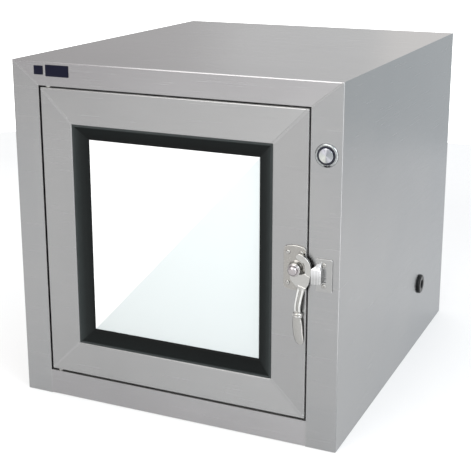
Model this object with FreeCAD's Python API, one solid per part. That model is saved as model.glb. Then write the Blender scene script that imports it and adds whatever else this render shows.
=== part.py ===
import FreeCAD, Part
import math
import os

# Cleanroom pass box: a stainless steel cabinet with a straight-through transfer chamber
# and a glazed, latched and electrically interlocked door at each end.
# Frame: millimetres, +Z up, the origin on the ground at the middle of the cabinet's base.
# The front face looks along -Y. The rear end is the front end turned half a turn about Z.

# ---------------------------------------------------------------- driving dimensions
width = 550.0
depth = 640.0
height = 560.0

sheet = 1.5                 # stainless sheet of skins, walls and door tubes
bend_radius = 2.5           # outside radius of a fold in that sheet

stile_width = 48.0          # folded face of each side skin, left and right of the doorway
top_rail = 38.0             # folded face of the top skin, above the doorway
bottom_rail = 42.0          # folded face of the bottom skin, below the doorway

door_gap = 3.0              # reveal all round the door
door_member = 55.0          # face width of the door's mitred tubes
door_depth = 34.0           # depth of those tubes
seal_space = 5.0            # closed door's back to the landing flange
tube_corner = 2.0           # outside corner radius of the door tubes

chamber_side_space = 75.0   # cabinet's side to the chamber's inside face
chamber_top_space = 62.0    # cabinet's top to the chamber's ceiling
chamber_floor_z = 68.0

sight_border = 24.0         # black rubber seen between the door tube and the clear glass
glass_recess = 12.0         # door face back to the outer pane
glass_thickness = 5.0
glass_space = 9.0           # dry air space between the panes
glass_edge = 8.0            # rubber between the glass edge and the door tube
spacer_width = 8.0
spacer_inset = 1.0          # glass edge to the spacer
gasket_lip = 5.0            # flat outer lip of the glazing rubber
gasket_set_back = 1.0       # lip below the door face
gasket_step = 2.0           # step from the lip down to the sloping face
gasket_step_run = 1.0
gasket_tail = 1.5           # thickness of the rubber at its thin edges

seal_width = 8.0
seal_offset = 1.0           # chamber wall to the seal
soft_clearance = 0.3        # rubber and other pieces that must not touch

hinge_inset = 12.0          # door edge to the hinge axis
hinge_set_back = 7.0        # door face to the hinge axis
hinge_pin_radius = 3.0
hinge_pin_reach = 14.0      # pin length inside the door
hinge_head_radius = 5.0
hinge_head_height = 4.0
bush_wall = 2.0
bush_extra = 1.0            # bush beyond the pin's end
running_clearance = 0.05    # radial, on every pin that turns in a bore

magnet_width = 13.0
magnet_length = 70.0
magnet_depth = 22.0
magnet_rise = 116.5         # magnet's middle above the latch
magnet_clearance = 0.4      # armature to magnet, door shut

latch_rise = 1.5            # lever's pivot above the door's middle
latch_edge = 15.5           # door edge to the lever's pivot
latch_plate_width = 34.5
latch_plate_height = 69.0
latch_plate_thick = 3.0
latch_plate_offset = 2.25   # the plate's middle lies this far towards the hinge from the pivot
latch_plate_crown = 3.5     # rise of the arched ends
latch_plate_corner = 4.0
latch_screw_span_x = 20.5
latch_screw_span_z = 47.0
latch_seat_radius = 12.0
latch_seat_height = 2.5
latch_pin_radius = 5.0
latch_washer_radius = 10.5
latch_washer_thick = 1.5
latch_knob_radius = 7.0
latch_knob_height = 6.5

lever_hub_radius = 13.0
hub_edge = 1.5
lever_thick = 7.0
cam_outer_radius = 26.5
cam_inner_radius = 17.0
cam_thick = 5.5
web_rise = 0.5              # lever's web above the cam's face
cam_top_angle = 66.0        # cam tip, degrees above the horizontal
cam_low_angle = -62.0       # cam root
neck_offset = 12.5          # neck's upper end beyond the pivot, away from the hinge
neck_drop = 24.0            # pivot down to the neck's upper end
neck_width = 10.5
neck_edge = 1.6             # rounding of the neck's front edges
neck_groove = 4.0
neck_groove_depth = 1.6
collar_width = 14.0
collar_height = 6.0
collar_lap = 1.0            # grip's end inside the collar
collar_rise = 1.5           # collar proud of the neck
collar_shift = 4.8          # collar's middle beyond the pivot, away from the hinge
grip_width = 15.5
grip_top = 71.0             # pivot down to the grip's upper end
grip_length = 41.0
grip_sweep = 3.7            # tip beyond the collar's middle, away from the hinge
grip_thick = 9.5

keeper_width = 25.0
keeper_height = 50.0
keeper_thick = 2.0
keeper_corner = 2.0
keeper_drop = 6.0           # keeper's middle below the lever's pivot
keeper_strap_height = 13.0
keeper_strap_width = 21.0
keeper_strap_thick = 3.2
keeper_nose_turn = 2.0      # turned-down end of the strap, below its underside
keeper_nose_gap = 0.6       # cam to the strap's nose
keeper_plate_gap = 4.0      # cam to the keeper plate, seen from the front
keeper_wall_x = 9.5         # the plate's near edge to the strap's wall
keeper_slot_width = 4.5
keeper_screw_span = 32.0

screw_head_radius = 3.6
screw_head_height = 1.6
screw_shank_radius = 2.0
screw_reach = 6.0
screw_recess_radius = 1.5
screw_recess_depth = 1.0

button_drop = 105.0         # cabinet's top to the button's middle
button_bezel_radius = 17.5
button_bezel_height = 2.6
button_barrel_radius = 15.0
button_barrel_length = 30.0
button_ring_radius = 13.3
button_ring_wall = 2.3
button_ring_clearance = 0.1
button_ring_height = 2.2
button_cap_height = 4.2
button_cap_clearance = 0.3
button_cap_length = 10.0    # part of the cap behind the cabinet's face
button_travel = 3.0
button_end_gap = 1.0        # pressed cap to the switch body
button_nut_flats = 36.0
button_nut_thick = 6.0
button_block_side = 24.0
button_block_length = 22.0
button_hole_clearance = 0.2

lamp_length = 288.0
lamp_radius = 8.0
lamp_end_radius = 2.0
lamp_drop = 32.0            # chamber ceiling to the tube's axis
lamp_holder_thick = 14.0
lamp_holder_width = 24.0
lamp_clearance = 0.2
reflector_width = 70.0
reflector_depth = 18.0
reflector_flat = 40.0

rib_width = 40.0
floor_rib_pitch = 200.0
side_rib_y = 90.0
top_rib_y = 190.0

case_corner = 3.0
ballast_size = (180.0, 40.0, 28.0)
ballast_y = -60.0
controller_size = (160.0, 100.0, 36.0)
controller_y = 60.0
terminal_size = (30.0, 60.0, 40.0)
terminal_z = 200.0

grommet_y = 145.0
grommet_z = 115.0
grommet_radius = 17.5
grommet_proud = 9.0
grommet_bore = 7.5
grommet_neck = 12.0
grommet_inner_lip = 5.0

badge_thick = 1.0
badge_corner = 0.8
badge_drop = 14.0           # cabinet's top to the badges' middle
small_badge_inset = 49.5    # cabinet's left side to the middle of each badge
small_badge_size = (16.0, 14.0)
large_badge_inset = 83.5
large_badge_size = (41.5, 18.0)

# ---------------------------------------------------------------- places worked out from them
face_y = -depth / 2
half_width = width / 2
inner_half = half_width - sheet
opening_half = half_width - stile_width
opening_low = bottom_rail
opening_high = height - top_rail
door_half = opening_half - door_gap
door_low = opening_low + door_gap
door_high = opening_high - door_gap
door_back_y = face_y + door_depth
flange_y = door_back_y + seal_space
flange_back_y = flange_y + sheet
window_half = door_half - door_member
window_low = door_low + door_member
window_high = door_high - door_member
chamber_half = half_width - chamber_side_space
chamber_top_z = height - chamber_top_space
chamber_height = chamber_top_z - chamber_floor_z
glass_unit = 2 * glass_thickness + glass_space
outer_pane_y = face_y + glass_recess
inner_pane_y = outer_pane_y + glass_thickness + glass_space
hinge_x = -door_half + hinge_inset
hinge_y = face_y + hinge_set_back
latch_x = door_half - latch_edge
latch_z = (door_low + door_high) / 2 + latch_rise
magnet_z = latch_z + magnet_rise
button_z = height - button_drop
badge_z = height - badge_drop
latch_seat_y = face_y - latch_plate_thick - latch_seat_height
lever_face_y = latch_seat_y - lever_thick
keeper_x = latch_x + cam_outer_radius + keeper_plate_gap
keeper_z = latch_z - keeper_drop
button_x = half_width - stile_width / 2
button_back_y = face_y + button_cap_length + button_travel + button_end_gap
lamp_z = chamber_top_z - lamp_drop

UP = FreeCAD.Vector(0, 0, 1)
OUT = FreeCAD.Vector(0, -1, 0)
IN = FreeCAD.Vector(0, 1, 0)
RIGHT = FreeCAD.Vector(1, 0, 0)


# ---------------------------------------------------------------- shape helpers
def point(x, y, z):
    return FreeCAD.Vector(x, y, z)


def block(x0, x1, y0, y1, z0, z1):
    return Part.makeBox(x1 - x0, y1 - y0, z1 - z0, point(x0, y0, z0))


def rod(radius, length, base, axis):
    return Part.makeCylinder(radius, length, base, axis)


def tube(outer, inner, length, base, axis):
    return rod(outer, length, base, axis).cut(rod(inner, length, base, axis))


def prism(corners, direction):
    """A solid with the given corners, in order round one plane, pushed along a vector."""
    wire = Part.makePolygon(corners + corners[:1])
    return Part.Face(wire).extrude(direction)


def edges_along(shape, axis):
    """The straight edges of a shape that run along one axis."""
    found = []
    for edge in shape.Edges:
        if edge.Curve.TypeId != "Part::GeomLine":
            continue
        run = edge.Vertexes[-1].Point - edge.Vertexes[0].Point
        if run.cross(axis).Length < 1e-6 * run.Length:
            found.append(edge)
    return found


def rear(shape):
    """The same shape at the other end of the cabinet."""
    turned = shape.copy()
    turned.rotate(point(0, 0, 0), UP, 180)
    return turned


def write(node, *shapes):
    """One STEP file for a node, which may hold several separate solids."""
    solids = [solid for shape in shapes for solid in shape.Solids]
    whole = solids[0] if len(solids) == 1 else Part.makeCompound(solids)
    whole.exportStep(os.path.join("parts", node + ".step"))
    print(node, len(solids), "solid(s)", round(whole.Volume / 1000, 1), "cm3")


def write_both(part, make):
    """The same piece for the front end and for the rear end, as two nodes."""
    shape = make()
    write("front_" + part, shape)
    write("rear_" + part, rear(shape))


def write_shared(node, make):
    """Identical pieces of the front and rear ends in one node."""
    shape = make()
    write(node, shape, rear(shape))


def mitred_bars(half, low, high, bar_width, profile):
    """Four bars round a rectangle in the XZ plane, meeting in mitres.

    The profile is a list of (inward, back) corners, inward from the rectangle's edge and
    back from the cabinet's face."""
    bars = []
    for turn in range(4):
        length = 2 * half if turn % 2 == 0 else high - low
        section = [point(0, face_y + back, inward) for inward, back in profile]
        bar = prism(section, point(length, 0, 0))
        trapezoid = [point(0, face_y, 0), point(length, face_y, 0),
                     point(length - bar_width, face_y, bar_width), point(bar_width, face_y, bar_width)]
        bar = bar.common(prism(trapezoid, point(0, depth / 2, 0)))
        corner = [(-half, low), (half, low), (half, high), (-half, high)][turn]
        bar.rotate(point(0, 0, 0), IN, -90 * turn)
        bar.translate(point(corner[0], 0, corner[1]))
        bars.append(bar)
    return bars


def fused(shapes):
    return shapes[0].multiFuse(shapes[1:]).removeSplitter()


# ---------------------------------------------------------------- cabinet
def folded_skin(web_low, web_high, length_low, length_high, lip_reach):
    """Profile-first skin: a flat web with a lip folded in at the front and at the rear.

    It is built as a top skin whose web's outer face is at Z = 0 and whose lips hang down."""
    outer = block(length_low, length_high, -depth / 2, depth / 2, -lip_reach, 0)
    outer = outer.makeFillet(bend_radius, [e for e in edges_along(outer, RIGHT)
                                           if e.CenterOfMass.z > -sheet])
    core = block(length_low - sheet, length_high + sheet, -depth / 2 + sheet, depth / 2 - sheet,
                 -lip_reach - sheet, -sheet)
    core = core.makeFillet(bend_radius - sheet, [e for e in edges_along(core, RIGHT)
                                                 if e.CenterOfMass.z > -2 * sheet])
    skin = outer.cut(core)
    web = block(web_low, web_high, -depth / 2 + sheet, depth / 2 - sheet, -sheet, 0)
    return skin.fuse(web).removeSplitter()


def side_skin(side):
    """Side sheet with the stile faces folded in at both ends; side is -1 left, +1 right."""
    skin = folded_skin(0, height, 0, height, stile_width)
    skin.rotate(point(0, 0, 0), IN, -90)
    skin.translate(point(-half_width, 0, 0))
    skin = skin.cut([corner_mitre(-1), rear(corner_mitre(1))])
    holes = stile_holes()
    if side < 0:
        return skin.cut(rear(holes))
    grommet_hole = rod(grommet_neck, 3 * sheet, point(half_width - 2 * sheet, grommet_y, grommet_z), RIGHT)
    return rear(skin).cut(holes).cut(grommet_hole)


def corner_mitre(side):
    """What the top rail takes from the front stile: all above the line from the doorway's
    upper corner to the cabinet's."""
    inner = side * opening_half
    outer = side * half_width
    corners = [(0, opening_high), (inner, opening_high), (outer, height), (outer, height + sheet),
               (0, height + sheet)]
    return prism([point(x, face_y - sheet, z) for x, z in corners], point(0, 2 * sheet, 0))


def rounded_body():
    """The cabinet's outside with its upright folds rounded, which the top rails end on."""
    body = block(-half_width, half_width, -depth / 2, depth / 2, 0, height)
    return body.makeFillet(bend_radius, edges_along(body, UP))


def stile_holes():
    """Holes in the latch-side stile face for the push button and the keeper's screws."""
    drills = [rod(button_barrel_radius + button_hole_clearance, 3 * sheet,
                  point(button_x, face_y - sheet, button_z), IN)]
    for x, z in keeper_screw_places():
        drills.append(rod(screw_shank_radius, 3 * sheet, point(x, face_y - sheet, z), IN))
    return Part.makeCompound(drills)


def top_skin():
    """Top sheet; its folded rails run to the cabinet's corners and meet the stiles in mitres."""
    skin = folded_skin(-inner_half, inner_half, -half_width, half_width, top_rail)
    skin.translate(point(0, 0, height))
    return skin.common(rounded_body()).cut([side_skin(-1), side_skin(1)])


def bottom_skin():
    skin = folded_skin(-inner_half, inner_half, -opening_half, opening_half, bottom_rail)
    skin.rotate(point(0, 0, 0), IN, 180)
    return skin.cut([side_skin(-1), side_skin(1)])


def door_rebate():
    """Plates that line the doorway, and the flange that the door's seal lands on."""
    back = flange_y
    front = face_y + sheet
    outside = opening_half + sheet
    low = opening_low - sheet
    high = opening_high + sheet
    plates = [block(-outside, -opening_half, front, back, low, high),
              block(opening_half, outside, front, back, low, high),
              block(-opening_half, opening_half, front, back, low, opening_low),
              block(-opening_half, opening_half, front, back, opening_high, high)]
    for plate_z in (low, opening_high):
        hole = rod(hinge_pin_radius + running_clearance, sheet, point(hinge_x, hinge_y, plate_z), UP)
        plates = [plate.cut(hole) for plate in plates]
    right_flange = block(chamber_half, outside, flange_y, flange_back_y, low, high)
    right_flange = right_flange.cut(magnet_block(0))
    plates += [block(-outside, -chamber_half, flange_y, flange_back_y, low, high),
               right_flange,
               block(-chamber_half, chamber_half, flange_y, flange_back_y, low, chamber_floor_z),
               block(-chamber_half, chamber_half, flange_y, flange_back_y, chamber_top_z, high)]
    return Part.makeCompound(plates)


def chamber_side_wall(side):
    x0 = chamber_half if side > 0 else -chamber_half - sheet
    return block(x0, x0 + sheet, flange_back_y, -flange_back_y,
                 chamber_floor_z - sheet, chamber_top_z + sheet)


def chamber_plate(z0):
    return block(-chamber_half, chamber_half, flange_back_y, -flange_back_y, z0, z0 + sheet)


def hat_rib(length, rise, across):
    """Folded channel along X, standing on Z = 0, open below."""
    channel = block(-length / 2, length / 2, -across / 2, across / 2, 0, rise)
    return channel.cut(block(-length / 2, length / 2, -across / 2 + sheet, across / 2 - sheet,
                             0, rise - sheet))


def chamber_ribs():
    """Channels that carry the chamber on the bottom skin and hold it off the sides and the top."""
    ribs = []
    for step in (-1, 0, 1):
        rib = hat_rib(2 * chamber_half, chamber_floor_z - 2 * sheet, rib_width)
        rib.translate(point(0, step * floor_rib_pitch, sheet))
        ribs.append(rib)
    side_rise = inner_half - chamber_half - sheet
    chamber_middle_z = chamber_floor_z + chamber_height / 2
    for end in (-1, 1):
        rib = hat_rib(2 * chamber_half, height - sheet - chamber_top_z - sheet, rib_width)
        rib.translate(point(0, end * top_rib_y, chamber_top_z + sheet))
        ribs.append(rib)
        for side in (0, 180):
            rib = hat_rib(chamber_height, side_rise, rib_width)
            rib.rotate(point(0, 0, 0), IN, 90)
            rib.translate(point(chamber_half + sheet, end * side_rib_y, chamber_middle_z))
            rib.rotate(point(0, 0, 0), UP, side)
            ribs.append(rib)
    return Part.makeCompound(ribs)


# ---------------------------------------------------------------- lamp and controls
def lamp_tube():
    glass = rod(lamp_radius, lamp_length, point(-lamp_length / 2, 0, lamp_z), RIGHT)
    return glass.makeFillet(lamp_end_radius, [e for e in glass.Edges if e.Curve.TypeId == "Part::GeomCircle"])


def lamp_holders():
    holders = []
    for side in (0, 180):
        inner = lamp_length / 2 - lamp_holder_thick / 2
        holder = block(inner, inner + lamp_holder_thick, -lamp_holder_width / 2, lamp_holder_width / 2,
                       lamp_z - lamp_holder_width / 2, chamber_top_z)
        socket = rod(lamp_radius + lamp_clearance, lamp_holder_thick / 2 + lamp_clearance,
                     point(inner, 0, lamp_z), RIGHT)
        holder = holder.cut(socket)
        holder.rotate(point(0, 0, 0), UP, side)
        holders.append(holder)
    return Part.makeCompound(holders)


def lamp_reflector():
    """Folded sheet between the holders: a flat under the ceiling and two sloping wings."""
    top = chamber_top_z
    low = top - reflector_depth
    flat = reflector_flat / 2
    edge = reflector_width / 2
    half = lamp_length / 2 - lamp_holder_thick / 2 - soft_clearance
    outline = [(-edge, low), (-flat, top), (flat, top), (edge, low), (edge - 2 * sheet, low),
               (flat - sheet, top - sheet), (sheet - flat, top - sheet), (2 * sheet - edge, low)]
    return prism([point(-half, y, z) for y, z in outline], point(2 * half, 0, 0))


def case(size, centre_x, centre_y, floor_z):
    """Closed equipment case with softened upright edges."""
    box = block(centre_x - size[0] / 2, centre_x + size[0] / 2, centre_y - size[1] / 2,
                centre_y + size[1] / 2, floor_z, floor_z + size[2])
    return box.makeFillet(case_corner, edges_along(box, UP))


def terminal_block():
    wall = chamber_half + sheet
    return case(terminal_size, wall + terminal_size[0] / 2, grommet_y + terminal_size[1] / 2, terminal_z)


def cable_grommet():
    """Rubber ring snapped into the right side sheet, for the supply lead."""
    proud = half_width + grommet_proud
    lip = rod(grommet_radius, grommet_proud, point(half_width, grommet_y, grommet_z), RIGHT)
    lip = lip.makeFillet(grommet_proud * 0.45, [e for e in lip.Edges
                                                if abs(e.CenterOfMass.x - proud) < 1e-6])
    neck = rod(grommet_neck, sheet, point(inner_half, grommet_y, grommet_z), RIGHT)
    inner_lip = rod(grommet_radius, grommet_inner_lip,
                    point(inner_half - grommet_inner_lip, grommet_y, grommet_z), RIGHT)
    whole = lip.fuse(neck).fuse(inner_lip)
    bore = rod(grommet_bore, 4 * grommet_radius,
               point(inner_half - 2 * grommet_radius, grommet_y, grommet_z), RIGHT)
    return whole.cut(bore).removeSplitter()


def badge_plates():
    """Two blank plates on the top rail's left end."""
    plates = []
    for inset, size in ((small_badge_inset, small_badge_size), (large_badge_inset, large_badge_size)):
        centre_x = inset - half_width
        plate = block(centre_x - size[0] / 2, centre_x + size[0] / 2, face_y - badge_thick, face_y,
                      badge_z - size[1] / 2, badge_z + size[1] / 2)
        plates.append(plate.makeFillet(badge_corner, edges_along(plate, OUT)))
    return Part.makeCompound(plates)


# ---------------------------------------------------------------- door
def hinge_bush_bore():
    """Hole for the bushes in the door's top and bottom tubes."""
    radius = hinge_pin_radius + running_clearance + bush_wall
    low = rod(radius, 2 * sheet, point(hinge_x, hinge_y, door_low - sheet), UP)
    high = rod(radius, 2 * sheet, point(hinge_x, hinge_y, door_high - sheet), UP)
    return low.fuse(high)


def door_frame():
    """Four rectangular tubes, mitred and welded, drilled for the hinge bushes and the latch."""
    outer = [(0, 0), (door_member, 0), (door_member, door_depth), (0, door_depth)]
    inner = [(sheet, sheet), (door_member - sheet, sheet), (door_member - sheet, door_depth - sheet),
             (sheet, door_depth - sheet)]
    bars = mitred_bars(door_half, door_low, door_high, door_member, outer)
    bores = mitred_bars(door_half, door_low, door_high, door_member, inner)
    holes = [hinge_bush_bore()]
    for x, z in latch_screw_places():
        holes.append(rod(screw_shank_radius, 3 * sheet, point(x, face_y - sheet, z), IN))
    members = []
    for bar, bore in zip(bars, bores):
        long_axis = RIGHT if bar.BoundBox.XLength > bar.BoundBox.ZLength else UP
        rounded = bar.makeFillet(tube_corner, edges_along(bar, long_axis))
        members.append(rounded.cut([bore] + holes))
    return Part.makeCompound(members)


def pane(y0):
    return block(-window_half + glass_edge, window_half - glass_edge, y0, y0 + glass_thickness,
                 window_low + glass_edge, window_high - glass_edge)


def door_panes():
    return Part.makeCompound([pane(outer_pane_y), pane(inner_pane_y)])


def glass_spacer():
    front = glass_recess + glass_thickness
    back = front + glass_space
    profile = [(0, front), (spacer_width, front), (spacer_width, back), (0, back)]
    inset = glass_edge + spacer_inset
    return fused(mitred_bars(window_half - inset, window_low + inset, window_high - inset,
                             spacer_width, profile))


def glazing_gasket():
    """Four mitred lengths of rubber channel: a flat lip, a face sloping in to the glass, a rear lip."""
    back = glass_recess + glass_unit
    profile = [(0, gasket_set_back), (gasket_lip, gasket_set_back),
               (gasket_lip + gasket_step_run, gasket_set_back + gasket_step),
               (sight_border, glass_recess - gasket_tail), (sight_border, glass_recess),
               (glass_edge, glass_recess), (glass_edge, back), (sight_border, back),
               (sight_border, back + gasket_tail), (0, back + gasket_tail)]
    return Part.makeCompound(mitred_bars(window_half, window_low, window_high, sight_border, profile))


def door_seal():
    """Rubber frame on the door's back that lands on the flange round the chamber."""
    reach = seal_offset + seal_width
    profile = [(0, door_depth), (seal_width, door_depth),
               (seal_width, door_depth + seal_space - soft_clearance),
               (0, door_depth + seal_space - soft_clearance)]
    return fused(mitred_bars(chamber_half + reach, chamber_floor_z - reach, chamber_top_z + reach,
                             seal_width, profile))


def hinge_pin(gap_z, outward):
    """Pin with its head behind the doorway plate and a thrust collar in the door's reveal."""
    axis = point(0, 0, outward)
    inner_end = point(hinge_x, hinge_y, gap_z - outward * (door_gap + hinge_pin_reach))
    shank = rod(hinge_pin_radius, hinge_pin_reach + door_gap + sheet, inner_end, axis)
    head = rod(hinge_head_radius, hinge_head_height, point(hinge_x, hinge_y, gap_z + outward * sheet), axis)
    collar_base = point(hinge_x, hinge_y, gap_z - outward * (door_gap - soft_clearance))
    collar = rod(hinge_head_radius, door_gap - soft_clearance, collar_base, axis)
    return shank.fuse(head).fuse(collar).removeSplitter()


def hinge_pins():
    return Part.makeCompound([hinge_pin(opening_high, 1), hinge_pin(opening_low, -1)])


def hinge_bushes():
    bore = hinge_pin_radius + running_clearance
    bushes = []
    for start, inward in ((door_low, 1), (door_high, -1)):
        bushes.append(tube(bore + bush_wall, bore, hinge_pin_reach + bush_extra,
                           point(hinge_x, hinge_y, start), point(0, 0, inward)))
    return Part.makeCompound(bushes)


def magnet_block(proud):
    """Holding magnet's outline; proud lengthens it out of its face."""
    middle_x = (chamber_half + seal_offset + seal_width + door_half) / 2
    return block(middle_x - magnet_width / 2, middle_x + magnet_width / 2, flange_y - proud,
                 flange_y + magnet_depth, magnet_z - magnet_length / 2, magnet_z + magnet_length / 2)


def armature_plate():
    outline = magnet_block(seal_space)
    thickness = seal_space - magnet_clearance
    slab = block(-half_width, half_width, door_back_y, door_back_y + thickness, 0, height)
    return outline.common(slab)


# ---------------------------------------------------------------- latch
def screw(x, z, seat_y):
    """Pan-head screw with a round drive recess; its head's underside is on seat_y."""
    head = rod(screw_head_radius, screw_head_height, point(x, seat_y, z), OUT)
    head = head.makeFillet(screw_head_height * 0.6, [e for e in head.Edges
                                                     if abs(e.CenterOfMass.y - seat_y) > 1e-6])
    shank = rod(screw_shank_radius, screw_reach, point(x, seat_y, z), IN)
    recess = rod(screw_recess_radius, screw_recess_depth, point(x, seat_y - screw_head_height, z), IN)
    return head.fuse(shank).cut(recess)


def latch_screw_places():
    middle = latch_x - latch_plate_offset
    return [(middle + side * latch_screw_span_x / 2, latch_z + end * latch_screw_span_z / 2)
            for side in (-1, 1) for end in (-1, 1)]


def latch_base():
    """Arched plate on the door with a round seat and the pin that the lever turns on."""
    middle = latch_x - latch_plate_offset
    half = latch_plate_width / 2
    top = latch_z + latch_plate_height / 2
    low = latch_z - latch_plate_height / 2
    shoulder = latch_plate_crown
    left_low = point(middle - half, face_y, low + shoulder)
    right_low = point(middle + half, face_y, low + shoulder)
    left_top = point(middle - half, face_y, top - shoulder)
    right_top = point(middle + half, face_y, top - shoulder)
    outline = Part.Wire([Part.makeLine(left_low, left_top),
                         Part.Arc(left_top, point(middle, face_y, top), right_top).toShape(),
                         Part.makeLine(right_top, right_low),
                         Part.Arc(right_low, point(middle, face_y, low), left_low).toShape()])
    plate = Part.Face(outline).extrude(point(0, -latch_plate_thick, 0))
    plate = plate.makeFillet(latch_plate_corner, edges_along(plate, OUT))
    foot = point(latch_x, face_y, latch_z)
    seat = rod(latch_seat_radius, latch_plate_thick + latch_seat_height, foot, OUT)
    pin = rod(latch_pin_radius, face_y - lever_face_y, foot, OUT)
    base = plate.fuse(seat).fuse(pin).removeSplitter()
    for x, z in latch_screw_places():
        base = base.cut(rod(screw_shank_radius, 4 * latch_plate_thick, point(x, face_y, z), OUT))
    return base


def latch_screws():
    seat_y = face_y - latch_plate_thick
    return Part.makeCompound([screw(x, z, seat_y) for x, z in latch_screw_places()])


def latch_knob():
    """Washer and domed nut on the end of the pivot pin."""
    washer_y = lever_face_y - running_clearance
    washer = rod(latch_washer_radius, latch_washer_thick, point(latch_x, washer_y, latch_z), OUT)
    knob_y = washer_y - latch_washer_thick
    knob = rod(latch_knob_radius, latch_knob_height, point(latch_x, knob_y, latch_z), OUT)
    knob = knob.makeFillet(latch_knob_radius * 0.5, [e for e in knob.Edges
                                                     if e.CenterOfMass.y < knob_y - 1])
    stub = rod(latch_pin_radius, running_clearance, point(latch_x, lever_face_y, latch_z), OUT)
    return washer.fuse(knob).fuse(stub).removeSplitter()


def cam():
    """Crescent on the lever's hub that runs under the keeper's strap."""
    ring = tube(cam_outer_radius, cam_inner_radius, cam_thick, point(latch_x, latch_seat_y, latch_z), OUT)
    reach = 2 * cam_outer_radius
    low = math.radians(cam_low_angle)
    high = math.radians(cam_top_angle)
    middle = (low + high) / 2
    wedge = [point(latch_x, latch_seat_y, latch_z)]
    for angle in (low, middle, high):
        wedge.append(point(latch_x + reach * math.cos(angle), latch_seat_y,
                           latch_z + reach * math.sin(angle)))
    crescent = ring.common(prism(wedge, point(0, -cam_thick, 0)))
    # The tip is drawn out: a disc set off to the left pares the upper end down.
    split_z = latch_z + 0.15 * cam_outer_radius
    pare_x = latch_x - 0.38 * cam_outer_radius
    pare = rod(cam_outer_radius, cam_thick, point(pare_x, latch_seat_y, split_z), OUT)
    tip = crescent.cut(pare)
    upper = block(latch_x, latch_x + reach, lever_face_y, latch_seat_y, split_z, latch_z + reach)
    root = crescent.cut(upper)
    return tip.fuse(root).removeSplitter()


def lever_body():
    """Broad web from the hub and the cam's root down to the neck.

    Its corners are given in shares of the cam's radius."""
    outline = [(-0.34, -0.32), (-0.19, -0.60), (0.13, -0.92), (0.30, -1.08), (0.66, -1.08),
               (0.83, -0.75), (0.94, -0.34), (0.62, -0.15), (0.34, -0.34)]
    corners = [lever_path(x * cam_outer_radius, z * cam_outer_radius) for x, z in outline]
    return prism(corners, OUT * (cam_thick + web_rise))


def lever_path(x, z, y=latch_seat_y):
    return point(latch_x + x, y, latch_z + z)


def neck_line(first, last, y):
    """Four points down the middle of the neck, which curves in from the web to the collar."""
    neck_length = grip_top - collar_height + collar_lap - neck_drop
    line = []
    for step in range(4):
        share = first + (last - first) * step / 3
        x = collar_shift + (neck_offset - collar_shift) * (1 - share) ** 1.5
        line.append(lever_path(x, -neck_drop - share * neck_length, y))
    return line


def ribbon(points, widths, thick):
    """Smooth tapering slab along a spline; widths belong to the points in turn."""
    left = []
    right = []
    for index, here in enumerate(points):
        before = points[max(index - 1, 0)]
        after = points[min(index + 1, len(points) - 1)]
        along = (after - before).normalize()
        across = along.cross(OUT) * (widths[index] / 2)
        left.append(here + across)
        right.append(here - across)
    sides = []
    for row in (left, right):
        curve = Part.BSplineCurve()
        curve.interpolate(row)
        sides.append(curve.toShape())
    ends = [Part.makeLine(left[0], right[0]), Part.makeLine(left[-1], right[-1])]
    outline = Part.Wire(Part.__sortEdges__([sides[0], ends[1], sides[1], ends[0]]))
    return Part.Face(outline).extrude(OUT * thick)


def lever_grip():
    """Swelling oval grip from the collar down to a blunt tip."""
    top_z = latch_z - grip_top
    ovals = []
    for fall, across, deep in ((0.0, 0.70, 0.75), (0.25, 0.92, 0.92), (0.5, 1.0, 1.0),
                               (0.78, 0.86, 0.9), (0.95, 0.52, 0.6), (1.0, 0.24, 0.3)):
        half_thick = grip_thick * deep / 2
        centre = point(latch_x + collar_shift + grip_sweep * fall ** 2.5,
                       latch_seat_y - grip_thick / 2, top_z - fall * grip_length)
        ring = Part.Ellipse(centre, grip_width * across / 2, half_thick)
        ovals.append(Part.Wire(ring.toShape()))
    return Part.makeLoft(ovals, True, False)


def lever():
    hub = rod(lever_hub_radius, lever_thick, point(latch_x, latch_seat_y, latch_z), OUT)
    hub = hub.makeFillet(hub_edge, [e for e in hub.Edges if e.CenterOfMass.y < latch_seat_y - 1])
    neck = ribbon(neck_line(0.0, 1.0, latch_seat_y),
                  [neck_width * share for share in (1.28, 1.0, 0.92, 0.95)], lever_thick)
    neck = neck.makeFillet(neck_edge, [e for e in neck.Edges if e.CenterOfMass.y < lever_face_y + 0.01
                                       and e.Length > 2 * neck_width])
    groove = ribbon(neck_line(0.15, 0.92, lever_face_y + neck_groove_depth),
                    [neck_groove * share for share in (1.0, 1.0, 0.8, 0.6)], 2 * neck_groove_depth)
    collar_z = latch_z - grip_top + collar_height / 2 - collar_lap
    collar_x = latch_x + collar_shift
    collar = block(collar_x - collar_width / 2, collar_x + collar_width / 2,
                   lever_face_y - collar_rise, latch_seat_y, collar_z - collar_height / 2,
                   collar_z + collar_height / 2)
    collar = collar.makeFillet(0.3 * collar_height, edges_along(collar, RIGHT))
    whole = hub.fuse(cam()).fuse(lever_body()).fuse(neck.cut(groove)).fuse(collar).fuse(lever_grip())
    bore = rod(latch_pin_radius + running_clearance, 2 * lever_thick,
               point(latch_x, latch_seat_y, latch_z), OUT)
    return whole.cut(bore).removeSplitter()


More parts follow.
